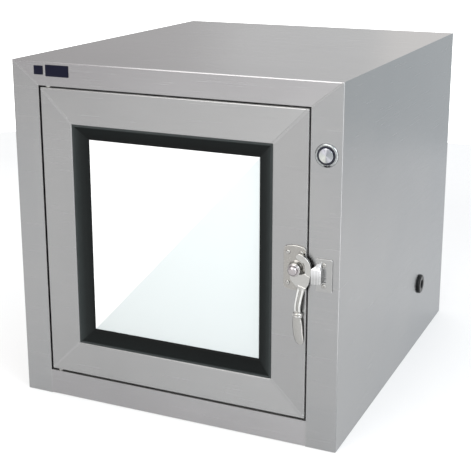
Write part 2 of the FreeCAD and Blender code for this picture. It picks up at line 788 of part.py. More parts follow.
def keeper():
    """Plate on the stile with a strap that stands up and turns over towards the door."""
    low = keeper_z - keeper_height / 2
    plate = block(keeper_x, keeper_x + keeper_width, face_y - keeper_thick, face_y,
                  low, low + keeper_height)
    plate = plate.makeFillet(keeper_corner, edges_along(plate, OUT))
    wall = keeper_x + keeper_wall_x
    slot = block(wall + keeper_strap_thick / 2, wall + keeper_strap_thick / 2 + keeper_slot_width,
                 face_y - 2 * keeper_thick, face_y, keeper_z - keeper_strap_width / 2,
                 keeper_z + keeper_strap_width / 2)
    nose = latch_x + cam_outer_radius + keeper_nose_gap
    outer_x = wall + keeper_strap_thick / 2
    inner_x = wall - keeper_strap_thick / 2
    top = face_y - keeper_strap_height
    under = top + keeper_strap_thick
    outline = [(inner_x, face_y), (outer_x, face_y), (outer_x, top), (nose, top),
               (nose, under + keeper_nose_turn), (nose + keeper_strap_thick, under + keeper_nose_turn),
               (nose + keeper_strap_thick, under), (inner_x, under)]
    strap = prism([point(x, y, keeper_z - keeper_strap_width / 2) for x, y in outline],
                  point(0, 0, keeper_strap_width))
    strap = strap.makeFillet(keeper_strap_thick * 0.9, [e for e in edges_along(strap, UP)
                                                        if e.CenterOfMass.y < top + 1e-6])
    whole = plate.cut(slot).fuse(strap).removeSplitter()
    for x, z in keeper_screw_places():
        whole = whole.cut(rod(screw_shank_radius, 2 * keeper_thick, point(x, face_y, z), OUT))
    return whole


def keeper_screw_places():
    middle = keeper_x + keeper_width / 2
    return [(middle, keeper_z + end * keeper_screw_span / 2) for end in (-1, 1)]


def keeper_screws():
    return Part.makeCompound([screw(x, z, face_y - keeper_thick) for x, z in keeper_screw_places()])


# ---------------------------------------------------------------- push button
def button_bezel():
    flange = rod(button_bezel_radius, button_bezel_height, point(button_x, face_y, button_z), OUT)
    flange = flange.makeFillet(button_bezel_height * 0.7, [e for e in flange.Edges
                                                           if e.CenterOfMass.y < face_y - 1])
    barrel = rod(button_barrel_radius, button_barrel_length, point(button_x, face_y, button_z), IN)
    bore = rod(button_ring_radius + button_ring_clearance, button_barrel_length + button_bezel_height,
               point(button_x, face_y - button_bezel_height, button_z), IN)
    return flange.fuse(barrel).cut(bore).removeSplitter()


def button_light_ring():
    length = button_back_y - face_y + button_ring_height
    return tube(button_ring_radius, button_ring_radius - button_ring_wall, length,
                point(button_x, face_y - button_ring_height, button_z), IN)


def button_cap():
    radius = button_ring_radius - button_ring_wall - button_cap_clearance
    cap = rod(radius, button_cap_height + button_cap_length,
              point(button_x, face_y - button_cap_height, button_z), IN)
    return cap.makeFillet(1.0, [e for e in cap.Edges if e.CenterOfMass.y < face_y - 1])


def button_nut():
    corner = button_nut_flats / 2 / math.cos(math.radians(30))
    corners = [point(button_x + corner * math.cos(math.radians(60 * k)), face_y + sheet,
                     button_z + corner * math.sin(math.radians(60 * k))) for k in range(6)]
    nut = prism(corners, point(0, button_nut_thick, 0))
    return nut.cut(rod(button_barrel_radius, button_nut_thick,
                       point(button_x, face_y + sheet, button_z), IN))


def button_switch():
    """Switch body: a round nose inside the barrel and a square contact block behind it."""
    nose_end = face_y + button_barrel_length
    nose = rod(button_ring_radius, nose_end - button_back_y, point(button_x, button_back_y, button_z), IN)
    half = button_block_side / 2
    contacts = block(button_x - half, button_x + half, nose_end, nose_end + button_block_length,
                     button_z - half, button_z + half)
    return nose.fuse(contacts).removeSplitter()


# ---------------------------------------------------------------- all the nodes
def main():
    os.makedirs("parts", exist_ok=True)
    write("left_side_skin", side_skin(-1))
    write("right_side_skin", side_skin(1))
    write("top_skin", top_skin())
    write("bottom_skin", bottom_skin())
    write("chamber_left_wall", chamber_side_wall(-1))
    write("chamber_right_wall", chamber_side_wall(1))
    write("chamber_floor", chamber_plate(chamber_floor_z - sheet))
    write("chamber_ceiling", chamber_plate(chamber_top_z))
    write("chamber_ribs", chamber_ribs())
    write_both("door_rebate", door_rebate)
    write("uv_lamp_tube", lamp_tube())
    write("uv_lamp_holders", lamp_holders())
    write("uv_lamp_reflector", lamp_reflector())
    write("lamp_ballast", case(ballast_size, 0, ballast_y, chamber_top_z + sheet))
    write("interlock_controller", case(controller_size, 0, controller_y, chamber_top_z + sheet))
    write("terminal_block", terminal_block())
    write("cable_grommet", cable_grommet())
    write("badge_plates", badge_plates())

    write_both("door_frame", door_frame)
    write_both("door_panes", door_panes)
    write_both("glass_spacer", glass_spacer)
    write_both("glazing_gasket", glazing_gasket)
    write_both("door_seal", door_seal)
    write_shared("hinge_pins", hinge_pins)
    write_both("hinge_bushes", hinge_bushes)
    write_shared("door_magnets", lambda: magnet_block(0))
    write_both("armature_plate", armature_plate)

    write_both("latch_base", latch_base)
    write_both("latch_screws", latch_screws)
    write_both("latch_lever", lever)
    write_both("latch_knob", latch_knob)
    write_both("keeper", keeper)
    write_shared("keeper_screws", keeper_screws)

    write_both("button_bezel", button_bezel)
    write_both("button_light_ring", button_light_ring)
    write_both("button_cap", button_cap)
    write_shared("button_nuts", button_nut)
    write_shared("button_switches", button_switch)


main()
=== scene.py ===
# %% [markdown]
# # A cleanroom pass box in brushed stainless steel
# The object is a steel cabinet with a glazed door at each end. Goods go through it from one
# room to the next, and its two doors never stand open together in use. Its solids come packed,
# each piece at its real place. These cells give the pieces their finish and model the ones that
# a plain solid can't show: rubber sections, castings, turned buttons, screws and ground welds.

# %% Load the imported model
import math

import bmesh
import bpy
from mathutils import Matrix, Vector


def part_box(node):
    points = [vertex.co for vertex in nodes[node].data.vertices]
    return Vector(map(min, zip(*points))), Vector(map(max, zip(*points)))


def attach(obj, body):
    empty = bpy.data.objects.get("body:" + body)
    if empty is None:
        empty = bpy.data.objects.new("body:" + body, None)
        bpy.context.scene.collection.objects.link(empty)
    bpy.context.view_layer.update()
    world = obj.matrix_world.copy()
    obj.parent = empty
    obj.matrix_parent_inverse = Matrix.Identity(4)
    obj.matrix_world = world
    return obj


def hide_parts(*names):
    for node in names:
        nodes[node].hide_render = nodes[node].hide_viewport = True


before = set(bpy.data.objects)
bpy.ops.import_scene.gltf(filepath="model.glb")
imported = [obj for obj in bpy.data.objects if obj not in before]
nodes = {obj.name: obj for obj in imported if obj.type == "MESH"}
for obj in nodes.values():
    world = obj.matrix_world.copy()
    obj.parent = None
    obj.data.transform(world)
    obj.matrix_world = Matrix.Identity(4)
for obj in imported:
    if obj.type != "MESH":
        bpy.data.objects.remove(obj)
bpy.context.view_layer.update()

# %% [markdown]
# ## Sizes and helpers
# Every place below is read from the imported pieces, so a changed cabinet carries its details
# along. Sizes that only the finish needs are written in millimetres. Both ends of the cabinet
# are alike, so each piece is modelled at the front and turned half a turn for the rear.

# %% Places read from the pieces
MM = 0.001
ENDS = {"front": Matrix.Identity(4), "rear": Matrix.Rotation(math.pi, 4, "Z")}


def middle(node):
    low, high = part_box(node)
    return (low + high) / 2


skin_low, skin_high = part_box("right_side_skin")
door_low, door_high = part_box("front_door_frame")
rubber_low, rubber_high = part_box("front_glazing_gasket")
glass_low, glass_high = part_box("front_door_panes")
face_y = door_low.y
half_width = skin_high.x
height = skin_high.z
opening_half = skin_low.x
door_gap = opening_half - door_high.x
opening_low = door_low.z - door_gap
opening_high = door_high.z + door_gap
print("cabinet", round(2 * half_width, 3), "wide,", round(height, 3), "high;",
      "face at", round(face_y, 3))

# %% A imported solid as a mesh, and a mesh made into a piece
JOIN_WITHIN = 0.001 * MM


def solid_mesh(node):
    """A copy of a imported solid, with its loose triangles joined."""
    bm = bmesh.new()
    bm.from_mesh(nodes[node].data)
    bmesh.ops.remove_doubles(bm, verts=bm.verts[:], dist=JOIN_WITHIN)
    return bm


def make_piece(name, bm, finish, sharp_angle=35):
    """A mesh piece at the origin, smooth but for edges sharper than the given angle."""
    bmesh.ops.recalc_face_normals(bm, faces=bm.faces[:])
    for face in bm.faces:
        face.smooth = True
    for edge in bm.edges:
        if len(edge.link_faces) == 2:
            edge.smooth = edge.calc_face_angle(0) < math.radians(sharp_angle)
    mesh = bpy.data.meshes.new(name)
    bm.to_mesh(mesh)
    bm.free()
    mesh.materials.append(finish)
    piece = bpy.data.objects.new(name, mesh)
    bpy.context.scene.collection.objects.link(piece)
    return piece


def keep_result(piece):
    """Gives an object what its modifiers make of it as a plain mesh, and takes them off."""
    graph = bpy.context.evaluated_depsgraph_get()
    mesh = bpy.data.meshes.new_from_object(piece.evaluated_get(graph))
    piece.modifiers.clear()
    piece.data = mesh
    return mesh


# %% A piece tied to the model
def settle(piece, body, replaced=None):
    """Ties a finished piece to its body and the solid it stands for."""
    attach(piece, body)
    if replaced:
        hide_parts(replaced)
    print(piece.name, len(piece.data.polygons), "faces on", body)


def on_both_doors(name, build, finish, node=None, sharp_angle=35):
    """Builds a piece of the front door, and the same half a turn round for the rear one."""
    for end, turn in ENDS.items():
        bm = build()
        bm.transform(turn)
        settle(make_piece(f"{end}_{name}", bm, finish, sharp_angle), f"{end}_door",
               node and f"{end}_{node}")


# %% Sections with rounded corners
def rounded(corners, steps=5):
    """A closed outline in metres from (x, y, radius) corners in millimetres."""
    outline = []
    for index, (x, y, radius) in enumerate(corners):
        here = Vector((x, y))
        if radius == 0:
            outline.append(here * MM)
            continue
        before = (Vector(corners[index - 1][:2]) - here).normalized()
        after = (Vector(corners[(index + 1) % len(corners)][:2]) - here).normalized()
        half_angle = before.angle(after) / 2
        centre = here + (before + after).normalized() * radius / math.sin(half_angle)
        start = here + before * radius / math.tan(half_angle) - centre
        end = here + after * radius / math.tan(half_angle) - centre
        first = math.atan2(start.y, start.x)
        turn = (math.atan2(end.y, end.x) - first + math.pi) % (2 * math.pi) - math.pi
        for step in range(steps + 1):
            angle = first + turn * step / steps
            outline.append((centre + radius * Vector((math.cos(angle), math.sin(angle)))) * MM)
    return outline


def mitred_ring(outline, half, low, high):
    """Sweeps an outline of (inward, back) points round an upright rectangle on the front face.

    The UV map counts the sides along the ring and gives the distance inward in metres."""
    bm = bmesh.new()
    uv = bm.loops.layers.uv.new("section")
    corners = ((-1, 1, low), (1, 1, low), (1, -1, high), (-1, -1, high))
    rings = [[bm.verts.new((side * (half - p.x), face_y + p.y, z + rise * p.x)) for p in outline]
             for side, rise, z in corners]
    count = len(outline)
    for turn in range(4):
        first, second = rings[turn], rings[(turn + 1) % 4]
        for k in range(count):
            after = (k + 1) % count
            face = bm.faces.new((first[k], second[k], second[after], first[after]))
            for loop, along, across in zip(face.loops, (0, 1, 1, 0), (k, k, after, after)):
                loop[uv].uv = (turn + along, outline[across].x)
    return bm


# %% Turned shapes
def lathe(bm, profile, centre, axis, closed=False, steps=72):
    """Turns a profile of (radius, outward) millimetres about an axis through centre.

    Points on the axis become poles; a closed profile makes a ring. The UV map gives the share
    of a turn and the share of the profile."""
    uv = bm.loops.layers.uv.get("turned") or bm.loops.layers.uv.new("turned")
    axis = Vector(axis)
    side = axis.orthogonal().normalized()
    other = axis.cross(side)
    turns = [2 * math.pi * k / steps for k in range(steps)]
    rows = []
    for radius, outward in profile:
        base = centre + axis * outward * MM
        spokes = [side * math.cos(a) + other * math.sin(a) for a in turns] if radius else [Vector()]
        rows.append([bm.verts.new(base + radius * MM * spoke) for spoke in spokes])
    pairs = list(zip(rows, rows[1:])) + ([(rows[-1], rows[0])] if closed else [])
    for row, (low, high) in enumerate(pairs):
        for k in range(steps):
            seen = []
            for ring, step, up in ((low, k, row), (low, k + 1, row),
                                   (high, k + 1, row + 1), (high, k, row + 1)):
                vert = ring[step % len(ring)]
                if vert not in [v for v, _ in seen]:
                    seen.append((vert, (step / steps, up / len(profile))))
            face = bm.faces.new([vert for vert, _ in seen])
            for loop, (_, place) in zip(face.loops, seen):
                loop[uv].uv = place
    return bm


# %% [markdown]
# ## Finishes
# Each finish is a small node tree named for what the real surface is. Colours are sRGB hex
# values, and one function turns them to the linear values that the shader works with. A second
# function adds a node, sets it and links it, so that each finish reads from top to bottom. It
# could all be done by hand in the shader editor, but written out it can be read and repeated.

# %% Node helpers
def srgb(code):
    """A hex colour as linear red, green, blue and alpha."""
    parts = [int(code[k:k + 2], 16) / 255 for k in (0, 2, 4)]
    return [c / 12.92 if c <= 0.04045 else ((c + 0.055) / 1.055) ** 2.4 for c in parts] + [1.0]


def add(tree, kind, inputs=None, stops=(), **settings):
    """Adds a node with its settings and its inputs, and a ramp's stops as (share, hex colour).

    A kind without the word Node is a shader node's. An input is a value, a socket to link
    from, or a node, whose first open output is meant."""
    node = tree.nodes.new(kind if "Node" in kind else "ShaderNode" + kind)
    for name, value in settings.items():
        setattr(node, name, value)
    for name, value in (inputs or {}).items():
        if isinstance(value, bpy.types.Node):
            value = next(socket for socket in value.outputs if socket.enabled)
        if isinstance(value, bpy.types.NodeSocket):
            tree.links.new(value, node.inputs[name])
        else:
            node.inputs[name].default_value = value
    for extra in range(len(stops) - 2):
        node.color_ramp.elements.new(0.5)
    if stops:
        for element, (share, code) in zip(node.color_ramp.elements, stops):
            element.position = share
            element.color = srgb(code)
    return node


def map_parts(tree, layer):
    """Where a point lies on a piece's own UV map, as sockets X and Y."""
    place = add(tree, "UVMap", uv_map=layer)
    return add(tree, "SeparateXYZ", {"Vector": place}).outputs


def new_finish(name):
    """A material and its node tree, empty."""
    finish = bpy.data.materials.new(name)
    finish.use_nodes = True
    finish.node_tree.nodes.clear()
    return finish, finish.node_tree


def surface(tree, **inputs):
    """Ends a finish with a Principled shader, whose inputs are given by name, and the output."""
    shader = add(tree, "BsdfPrincipled", {
        key.replace("_", " "): value for key, value in inputs.items()})
    add(tree, "OutputMaterial", {"Surface": shader})


# %% [markdown]
# ### Brushed stainless steel
# The sheet is 304 stainless with a grain put on by an abrasive belt, which runs level all round
# this cabinet. The real scratches are about 0.1 mm wide and would not show at this distance, so
# the pattern is drawn as 1.5 mm streaks about 100 mm long, faint enough to read as grain. A
# second, slow pattern gives the cloudiness of large sheet. The scratches spread reflections
# across themselves, which anisotropy does, with its tangent laid across the grain.
#
# Each strip also has painted shade: its tone runs slowly lighter or darker along its length,
# and a door's level members are painted lighter than its uprights. None of that reaches into the
# gap round the door, where the sheet is painted pale as painted light and made rougher, and the
# drawn bends of the door tubes are duller than their flats. All of that follows from where a point
# lies and which way it faces.

# %% Painted shade along a strip
STREAK_WIDTH = 1.5 * MM
STREAK_LENGTH = 100 * MM
CLOUD_SIZE = 160 * MM
SHADE_RANGE = 0.9
UPRIGHT_RANGE = 2.3 * SHADE_RANGE


def away_from(tree, value, centre=0.0):
    """How far a value lies from a centre, on either side of it."""
    offset = add(tree, "Math", {0: value, 1: centre}, operation="SUBTRACT")
    return add(tree, "Math", {0: offset}, operation="ABSOLUTE")


def painted_shade_along_strip(tree, parts, upright, mitred):
    """Painted shade: how much lighter the sheet is painted along its strip; on a mitred frame, its
    level members are painted lighter.
    """
    if upright:
        return add(tree, "MapRange", {
            "Value": parts["Y"], "From Min": face_y, "From Max": -face_y, "To Max": -UPRIGHT_RANGE})
    shade = add(tree, "MapRange", {
        "Value": parts["X"], "From Min": -half_width, "From Max": half_width,
        "To Min": -SHADE_RANGE, "To Max": SHADE_RANGE})
    if not mitred:
        return shade
    up = away_from(tree, parts["Z"], (rubber_low.z + rubber_high.z) / 2)
    aside = away_from(tree, parts["X"])
    beyond = add(tree, "Math", {0: up, 1: aside}, operation="SUBTRACT")
    mitre = (rubber_high.z - rubber_low.z) / 2 - rubber_high.x
    level = add(tree, "Math", {0: beyond, 1: mitre}, operation="GREATER_THAN")
    raised = add(tree, "Math", {0: shade, 1: SHADE_RANGE}, operation="ADD")
    return add(tree, "Math", {0: raised, 1: level}, operation="MULTIPLY")


print("streaks", STREAK_WIDTH, "m wide and", STREAK_LENGTH, "m long")

# %% Sides of the door gap and bends of the tubes
# Painted light: the sides of the door gap are painted this pale tone, standing in for light that
# reaches into the gap.
GAP_PAINTED_LIGHT_TONE = "D0D0CE"
MILL_ROUGHNESS = 0.8
LEVEL_SHARE = 0.25
GAP_REACH = 2 * door_gap
SIDEWAYS = 0.5
BEND_ROUGHNESS = 0.6
BEND_START = 0.98
BEND_FULL = 0.85


def gap_sides(tree, parts, facing):
    """1 on the upright sides of the door gap, LEVEL_SHARE on its level ones, 0 elsewhere."""
    aside = away_from(tree, parts["X"])
    up = away_from(tree, parts["Z"], (opening_low + opening_high) / 2)
    amount = 0.0
    for distance, edge, other_way, share in (
            (aside, opening_half, "Z", 1.0),
            (up, (opening_high - opening_low) / 2, "X", LEVEL_SHARE)):
        inside = share
        for value, centre, reach in ((distance, edge, GAP_REACH),
                                     (facing["Y"], 0.0, SIDEWAYS),
                                     (facing[other_way], 0.0, SIDEWAYS)):
            near = add(tree, "Math", {0: value, 1: centre, 2: reach}, operation="COMPARE")
            inside = add(tree, "Math", {0: near, 1: inside}, operation="MULTIPLY")
        amount = add(tree, "Math", {0: inside, 1: amount}, operation="MAXIMUM")
    return amount


def dulled_bends(tree, rough, facing):
    """The roughness, or more where a tube turns away from the front and the rear."""
    outward = away_from(tree, facing["Y"])
    bend = add(tree, "MapRange", {
        "Value": outward, "From Min": BEND_START, "From Max": BEND_FULL, "To Max": BEND_ROUGHNESS})
    return add(tree, "Math", {0: rough, 1: bend}, operation="MAXIMUM")


print("gap", round(door_gap, 4), "m wide round the door")

# %% Brushed stainless steel
def brushed_stainless(name, light, dark, level_sheet=False, mitred=False):
    """Belt-grained sheet. A level sheet's grain runs along X; an upright one's runs level."""
    finish, tree = new_finish(name)
    coordinates = add(tree, "TexCoord")
    place = coordinates.outputs["Object"]
    parts = add(tree, "SeparateXYZ", {"Vector": place}).outputs
    facing = add(tree, "SeparateXYZ", {"Vector": coordinates.outputs["Normal"]}).outputs
    across, along = 1 / STREAK_WIDTH, 1 / STREAK_LENGTH
    stretched = add(tree, "Mapping", {
        "Vector": place, "Scale": (along, across if level_sheet else along, across)})
    streaks = add(tree, "TexNoise", {
        "Vector": stretched, "Scale": 1.0, "Detail": 4.0, "Roughness": 0.65})
    clouds = add(tree, "TexNoise", {
        "Vector": place, "Scale": 1 / CLOUD_SIZE, "Detail": 2.0, "Roughness": 0.5})
    blend = add(tree, "Math", {0: streaks, 1: clouds}, operation="ADD")
    tone = add(tree, "MapRange", {"Value": blend, "From Min": 0.7, "From Max": 1.3})
    # Painted shade, laid over the grain's tone.
    strip = painted_shade_along_strip(tree, parts, not level_sheet and not mitred, mitred)
    shaded = add(tree, "Math", {0: tone, 1: strip}, operation="ADD")
    belted = add(tree, "Mix", {
        "Factor": shaded, "A": srgb(dark), "B": srgb(light)}, data_type="RGBA", clamp_factor=False)
    # The gap's sides get the pale painted-light tone and a high roughness.
    gap_amount = gap_sides(tree, parts, facing)
    colour = add(tree, "Mix", {"Factor": gap_amount, "A": belted, "B": srgb(GAP_PAINTED_LIGHT_TONE)}, data_type="RGBA")
    grained = add(tree, "MapRange", {
        "Value": streaks, "From Min": 0.3, "From Max": 0.7, "To Min": 0.2, "To Max": 0.28})
    rough = add(tree, "MapRange", {"Value": gap_amount, "To Min": grained, "To Max": MILL_ROUGHNESS})
    bump = add(tree, "Bump", {"Height": streaks, "Strength": 0.06, "Distance": 0.04 * MM})
    if level_sheet:
        normal = add(tree, "NewGeometry").outputs["Normal"]
        tangent = add(tree, "VectorMath", {0: normal, 1: (1, 0, 0)}, operation="CROSS_PRODUCT")
    else:
        tangent = add(tree, "CombineXYZ", {"Z": 1.0})
    surface(tree, Metallic=1.0, Anisotropic=0.55, Base_Color=colour, Normal=bump,
            Tangent=tangent, Roughness=dulled_bends(tree, rough, facing) if mitred else rough)
    return finish


# Grained skins: a soft grey that stretches every reflection upright; the level sheet's tone is
# painted lighter, a painted light.
steel_upright = brushed_stainless("brushed_stainless_upright", "9D9D9D", "969798")
steel_level = brushed_stainless("brushed_stainless_level", "A2A1A2", "9C9B9C", level_sheet=True)
# Drawn door tube, grained like the skins: its bends are dull, so no hard line runs along them.
steel_door = brushed_stainless("brushed_stainless_door", "9D9D9D", "979797", mitred=True)
# The chamber's sheet has a finer belt finish: brighter, as light bounces about between walls.
steel_inside = brushed_stainless("satin_stainless_chamber", "B4B4B2", "ABABA9", level_sheet=True)
print("brushed stainless: 4 finishes")

# %% [markdown]
# ### Other finishes with a fine texture
# Castings, turned parts, zinc-plated fasteners, rubbers and plastics differ in tint, in
# roughness and in the size of the marks that their making leaves. One function takes those
# facts and makes tone, gloss and height follow one noise. A metal's colour is in its
# reflection, and a rubber or plastic has its colour in the body, under a thin white gloss.
#
# Some metals also need a second tone laid over the first: bright edges, partly wear and partly
# painted highlight, painted highlight fans on a turned cap, and a painted dark reflection at the
# foot of the button's ring. Turned pieces carry a UV map round their axis, so that the painted
# fans, the painted dark reflection and anisotropy follow it.

# %% A finish with a fine texture
def textured(name, light, dark, mark, rough, vary, bump_height, bump_strength, over=None,
             turned=False, **inputs):
    """A finish whose tone, gloss and height vary over marks of a given size in millimetres.

    A second tone may be laid over the first by a function of the tree and the first tone."""
    finish, tree = new_finish(name)
    place = add(tree, "TexCoord").outputs["Object"]
    grain = add(tree, "TexNoise", {
        "Vector": place, "Scale": 1 / (mark * MM), "Detail": 3.0, "Roughness": 0.6})
    tone = add(tree, "Mix", {"Factor": grain, "A": srgb(dark), "B": srgb(light)}, data_type="RGBA")
    gloss = add(tree, "MapRange", {
        "Value": grain, "From Min": 0.3, "From Max": 0.7,
        "To Min": rough * (1 - vary), "To Max": rough * (1 + vary)})
    bump = add(tree, "Bump", {
        "Height": grain, "Strength": bump_strength, "Distance": bump_height * MM})
    if turned:
        inputs["Tangent"] = add(tree, "Tangent", direction_type="UV_MAP", uv_map="turned")
    surface(tree, Base_Color=over(tree, tone) if over else tone, Roughness=gloss, Normal=bump,
            **inputs)
    return finish


def metal(name, light, dark, mark, rough, bump_height=0.02, **inputs):
    return textured(name, light, dark, mark, rough, 0.2, bump_height, 0.3, Metallic=1.0, **inputs)


def moulded(name, light, dark, mark, rough, bump_height=0.03, **inputs):
    return textured(name, light, dark, mark, rough, 0.15, bump_height, 0.4, **inputs)


# %% Bright edges: wear and painted highlight
EDGE_START = 0.51
EDGE_FULL = 0.56


def worn_and_highlit(code, strength):
    """Edges painted bright where they are sharpest, and the places that the piece marks: partly
    wear, partly painted highlight.
    """
    def lay(tree, tone):
        edge = add(tree, "NewGeometry").outputs["Pointiness"]
        bright_edge = add(tree, "MapRange", {
            "Value": edge, "From Min": EDGE_START, "From Max": EDGE_FULL, "To Max": strength})
        marked_bright = add(tree, "Attribute", attribute_name="worn_and_highlit").outputs["Fac"]
        most = add(tree, "Math", {0: bright_edge, 1: marked_bright}, operation="MAXIMUM")
        return add(tree, "Mix", {"Factor": most, "A": tone, "B": srgb(code)}, data_type="RGBA")
    return lay


# %% Painted highlight fans and a painted dark reflection round an axis
# Painted highlight and shade of the cap by share of a turn, from the lower left through the lower
# right.
CAP_HIGHLIGHT_FANS = ((0.0, "C4C6C0"), (0.1, "BABCB8"), (0.14, "8C8F8F"), (0.18, "A6A7AC"),
            (0.25, "BDBEC5"), (0.31, "999CA1"), (0.42, "898E90"), (0.56, "84868E"),
            (0.6, "9A9B9F"), (0.625, "D4D4DB"), (0.65, "A4A4AA"), (0.7, "C2C1CB"),
            (0.86, "B8BBB8"), (1.0, "C4C6C0"))
HIGHLIGHT_FAN_SHARE = 0.85
# How dark the painted dark reflection lies by share of a turn, and the shares of the profile where
# it thins out.
DARK_REFLECTION_BLOTS = ((0.085, "000000"), (0.105, "F4F4F4"), (0.135, "FFFFFF"), (0.15, "C8C8C8"),
               (0.165, "FAFAFA"), (0.185, "E0E0E0"), (0.215, "000000"))
DARK_REFLECTION_EDGE = (0.8, 0.74)
DARK_REFLECTION_TONE = "141216"


def painted_highlight_fans(tree, tone):
    """Painted fans of highlight and shade about the middle, where ring-shaped tool marks would
    throw them.
    """
    fans = add(tree, "ValToRGB", {"Fac": map_parts(tree, "turned")["X"]}, CAP_HIGHLIGHT_FANS)
    return add(tree, "Mix", {"Factor": HIGHLIGHT_FAN_SHARE, "A": tone, "B": fans}, data_type="RGBA")


def painted_dark_reflection(tree, tone):
    """A painted dark reflection in two blots at the foot of the button's ring."""
    parts = map_parts(tree, "turned")
    outside = add(tree, "MapRange", {
        "Value": parts["Y"], "From Min": DARK_REFLECTION_EDGE[0], "From Max": DARK_REFLECTION_EDGE[1]})
    blots = add(tree, "ValToRGB", {"Fac": parts["X"]}, DARK_REFLECTION_BLOTS)
    amount = add(tree, "Math", {0: blots, 1: outside}, operation="MULTIPLY")
    return add(tree, "Mix", {"Factor": amount, "A": tone, "B": srgb(DARK_REFLECTION_TONE)}, data_type="RGBA")


# %% Metals
# Tumbled and nickel-plated zinc: a soft satin skin, its edges painted bright: partly wear, partly
# painted highlight.
satin_nickel = metal("satin_nickel_casting", "A9A8A5", "989794", 2.5, 0.2,
                     over=worn_and_highlit("F0F0EE", 0.85))
# The nut on the pivot is turned and gets no painted bright edges: an even, faintly pink nickel.
nut_nickel = metal("turned_nickel_nut", "B2ADAE", "9C9899", 2.0, 0.2)
# The plate under it is duller and warmer, with its edges painted bright: partly wear, partly
# painted highlight.
dull_nickel = metal("dull_nickel_plate", "A3A19D", "93918D", 2.5, 0.24, over=worn_and_highlit("E4E4E2", 0.7))
# The keeper is the same metal, lighter, with its strap and edges painted bright: partly wear,
# partly painted highlight.
keeper_nickel = metal("keeper_nickel_strap", "A7A7A6", "989897", 2.0, 0.22,
                      over=worn_and_highlit("ECECEE", 0.75))
# Polished and plated: its mottled tone holds painted glints and dark reflections, and two blots at
# the foot of the ring are a painted dark reflection.
buffed_chrome = metal("buffed_chrome_ring", "C6C9C9", "3E4143", 2.2, 0.18, 0.15, over=painted_dark_reflection)
# Faced on a lathe: anisotropy fans the highlight out from the middle, and painted highlight fans
# lie over its tone.
turned_stainless = metal("turned_stainless_cap", "B4B5B8", "A4A5A8", 3.0, 0.22, turned=True,
                         Anisotropic=0.8, Anisotropic_Rotation=0.25, over=painted_highlight_fans)
# A weld ground flush with a flap wheel: a little brighter and finer than the sheet.
ground_weld = metal("ground_weld", "A2A2A2", "9D9D9D", 4.0, 0.24)
# Bright zinc over steel: a cool, lively sparkle on screws, pins and nuts.
zinc_steel = metal("zinc_plated_steel", "B6B5B2", "8C8B88", 1.2, 0.22)
# Pressed from bronze powder and soaked in oil: warm, dark and without a clear highlight.
sintered_bronze = metal("sintered_bronze", "B08A52", "93703E", 0.8, 0.45)
# Plated over a ground block: a warm grey with a broad, soft highlight.
nickel_magnet = metal("nickel_plated_magnet_steel", "B4B2AC", "9C9A95", 2.0, 0.32)
# Rolled sheet for the reflector and the panes' spacer: pale, bright and faintly streaky.
mill_aluminium = metal("mill_finish_aluminium", "DCDDDE", "C8CACC", 3.0, 0.25)
# Thin pressed caps on the lamp: a paler metal with a satin bloom.
cap_aluminium = metal("lamp_cap_aluminium", "D5D6D7", "BFC1C3", 1.5, 0.32)
print("metals: 12 finishes")

# %% Rubbers, plastics and enamel
# Oil-proof rubber with its mould's polish: near black, with a small soft highlight.
grommet_rubber = moulded("nitrile_rubber", "0C0D0E", "060708", 1.2, 0.3, Specular_IOR_Level=0.3)
# Extruded seal with a dry bloom: a matt charcoal.
seal_rubber = moulded("black_epdm_rubber", "2A2D2D", "1D2020", 1.5, 0.5)
# Smoked light ring, unlit: a dark blue depth under a smooth gloss.
smoked_ring = moulded("smoked_polycarbonate", "171B2A", "10131F", 3.0, 0.2, 0.01,
                      Coat_Weight=0.15, Specular_IOR_Level=0.3)
# Dyed oxide on thin plates: a deep navy with hardly any shine.
navy_plate = moulded("navy_anodised_aluminium", "070820", "050617", 1.0, 0.34, 0.01,
                     Specular_IOR_Level=0.13)
# Moulded lamp holders, spark-eroded grain: an even, milky white.
white_holder = moulded("white_polycarbonate", "EDEEEC", "E3E4E1", 1.0, 0.4)
# Baked powder paint with orange peel: its highlight breaks up into soft ripples.
white_enamel = moulded("white_powder_enamel", "E9EAE6", "DEDFDB", 1.8, 0.38, 0.05)
# Glass-filled terminal plastic: a flat mid grey.
grey_polyamide = moulded("grey_polyamide", "7D8284", "6E7375", 1.0, 0.5)
print("rubbers, plastics and enamel: 7 finishes")

# %% [markdown]
# ### Glazing rubber, with a painted highlight on its lip
# The channel round the glass is matt EPDM. Its outer lip is painted grey as a painted highlight,
# and the section darkens towards the glass. The section's UV map says how far a point lies from
# the outer edge, so one ramp for the level lengths and one for the upright ones give those bands,
# shaded differently as light falls differently on the level and upright lengths.

# %% Glazing rubber
SIGHT_BORDER = 24.0
# Painted light: the grey outer lip is a painted highlight, and level and upright lengths are shaded
# differently.
LEVEL_PAINTED_BANDS = ((0.0, "2C3030"), (2.2, "363A3A"), (3.8, "0C1010"), (SIGHT_BORDER, "070909"))
UPRIGHT_PAINTED_BANDS = ((0.0, "343838"), (5.0, "242828"), (12.0, "181B1B"), (SIGHT_BORDER, "0E1111"))
BLUSH_SIZE = 12 * MM
BLUSH_TONES = ((0.82, 0.82, 0.82, 1.0), (1.18, 1.18, 1.18, 1.0))

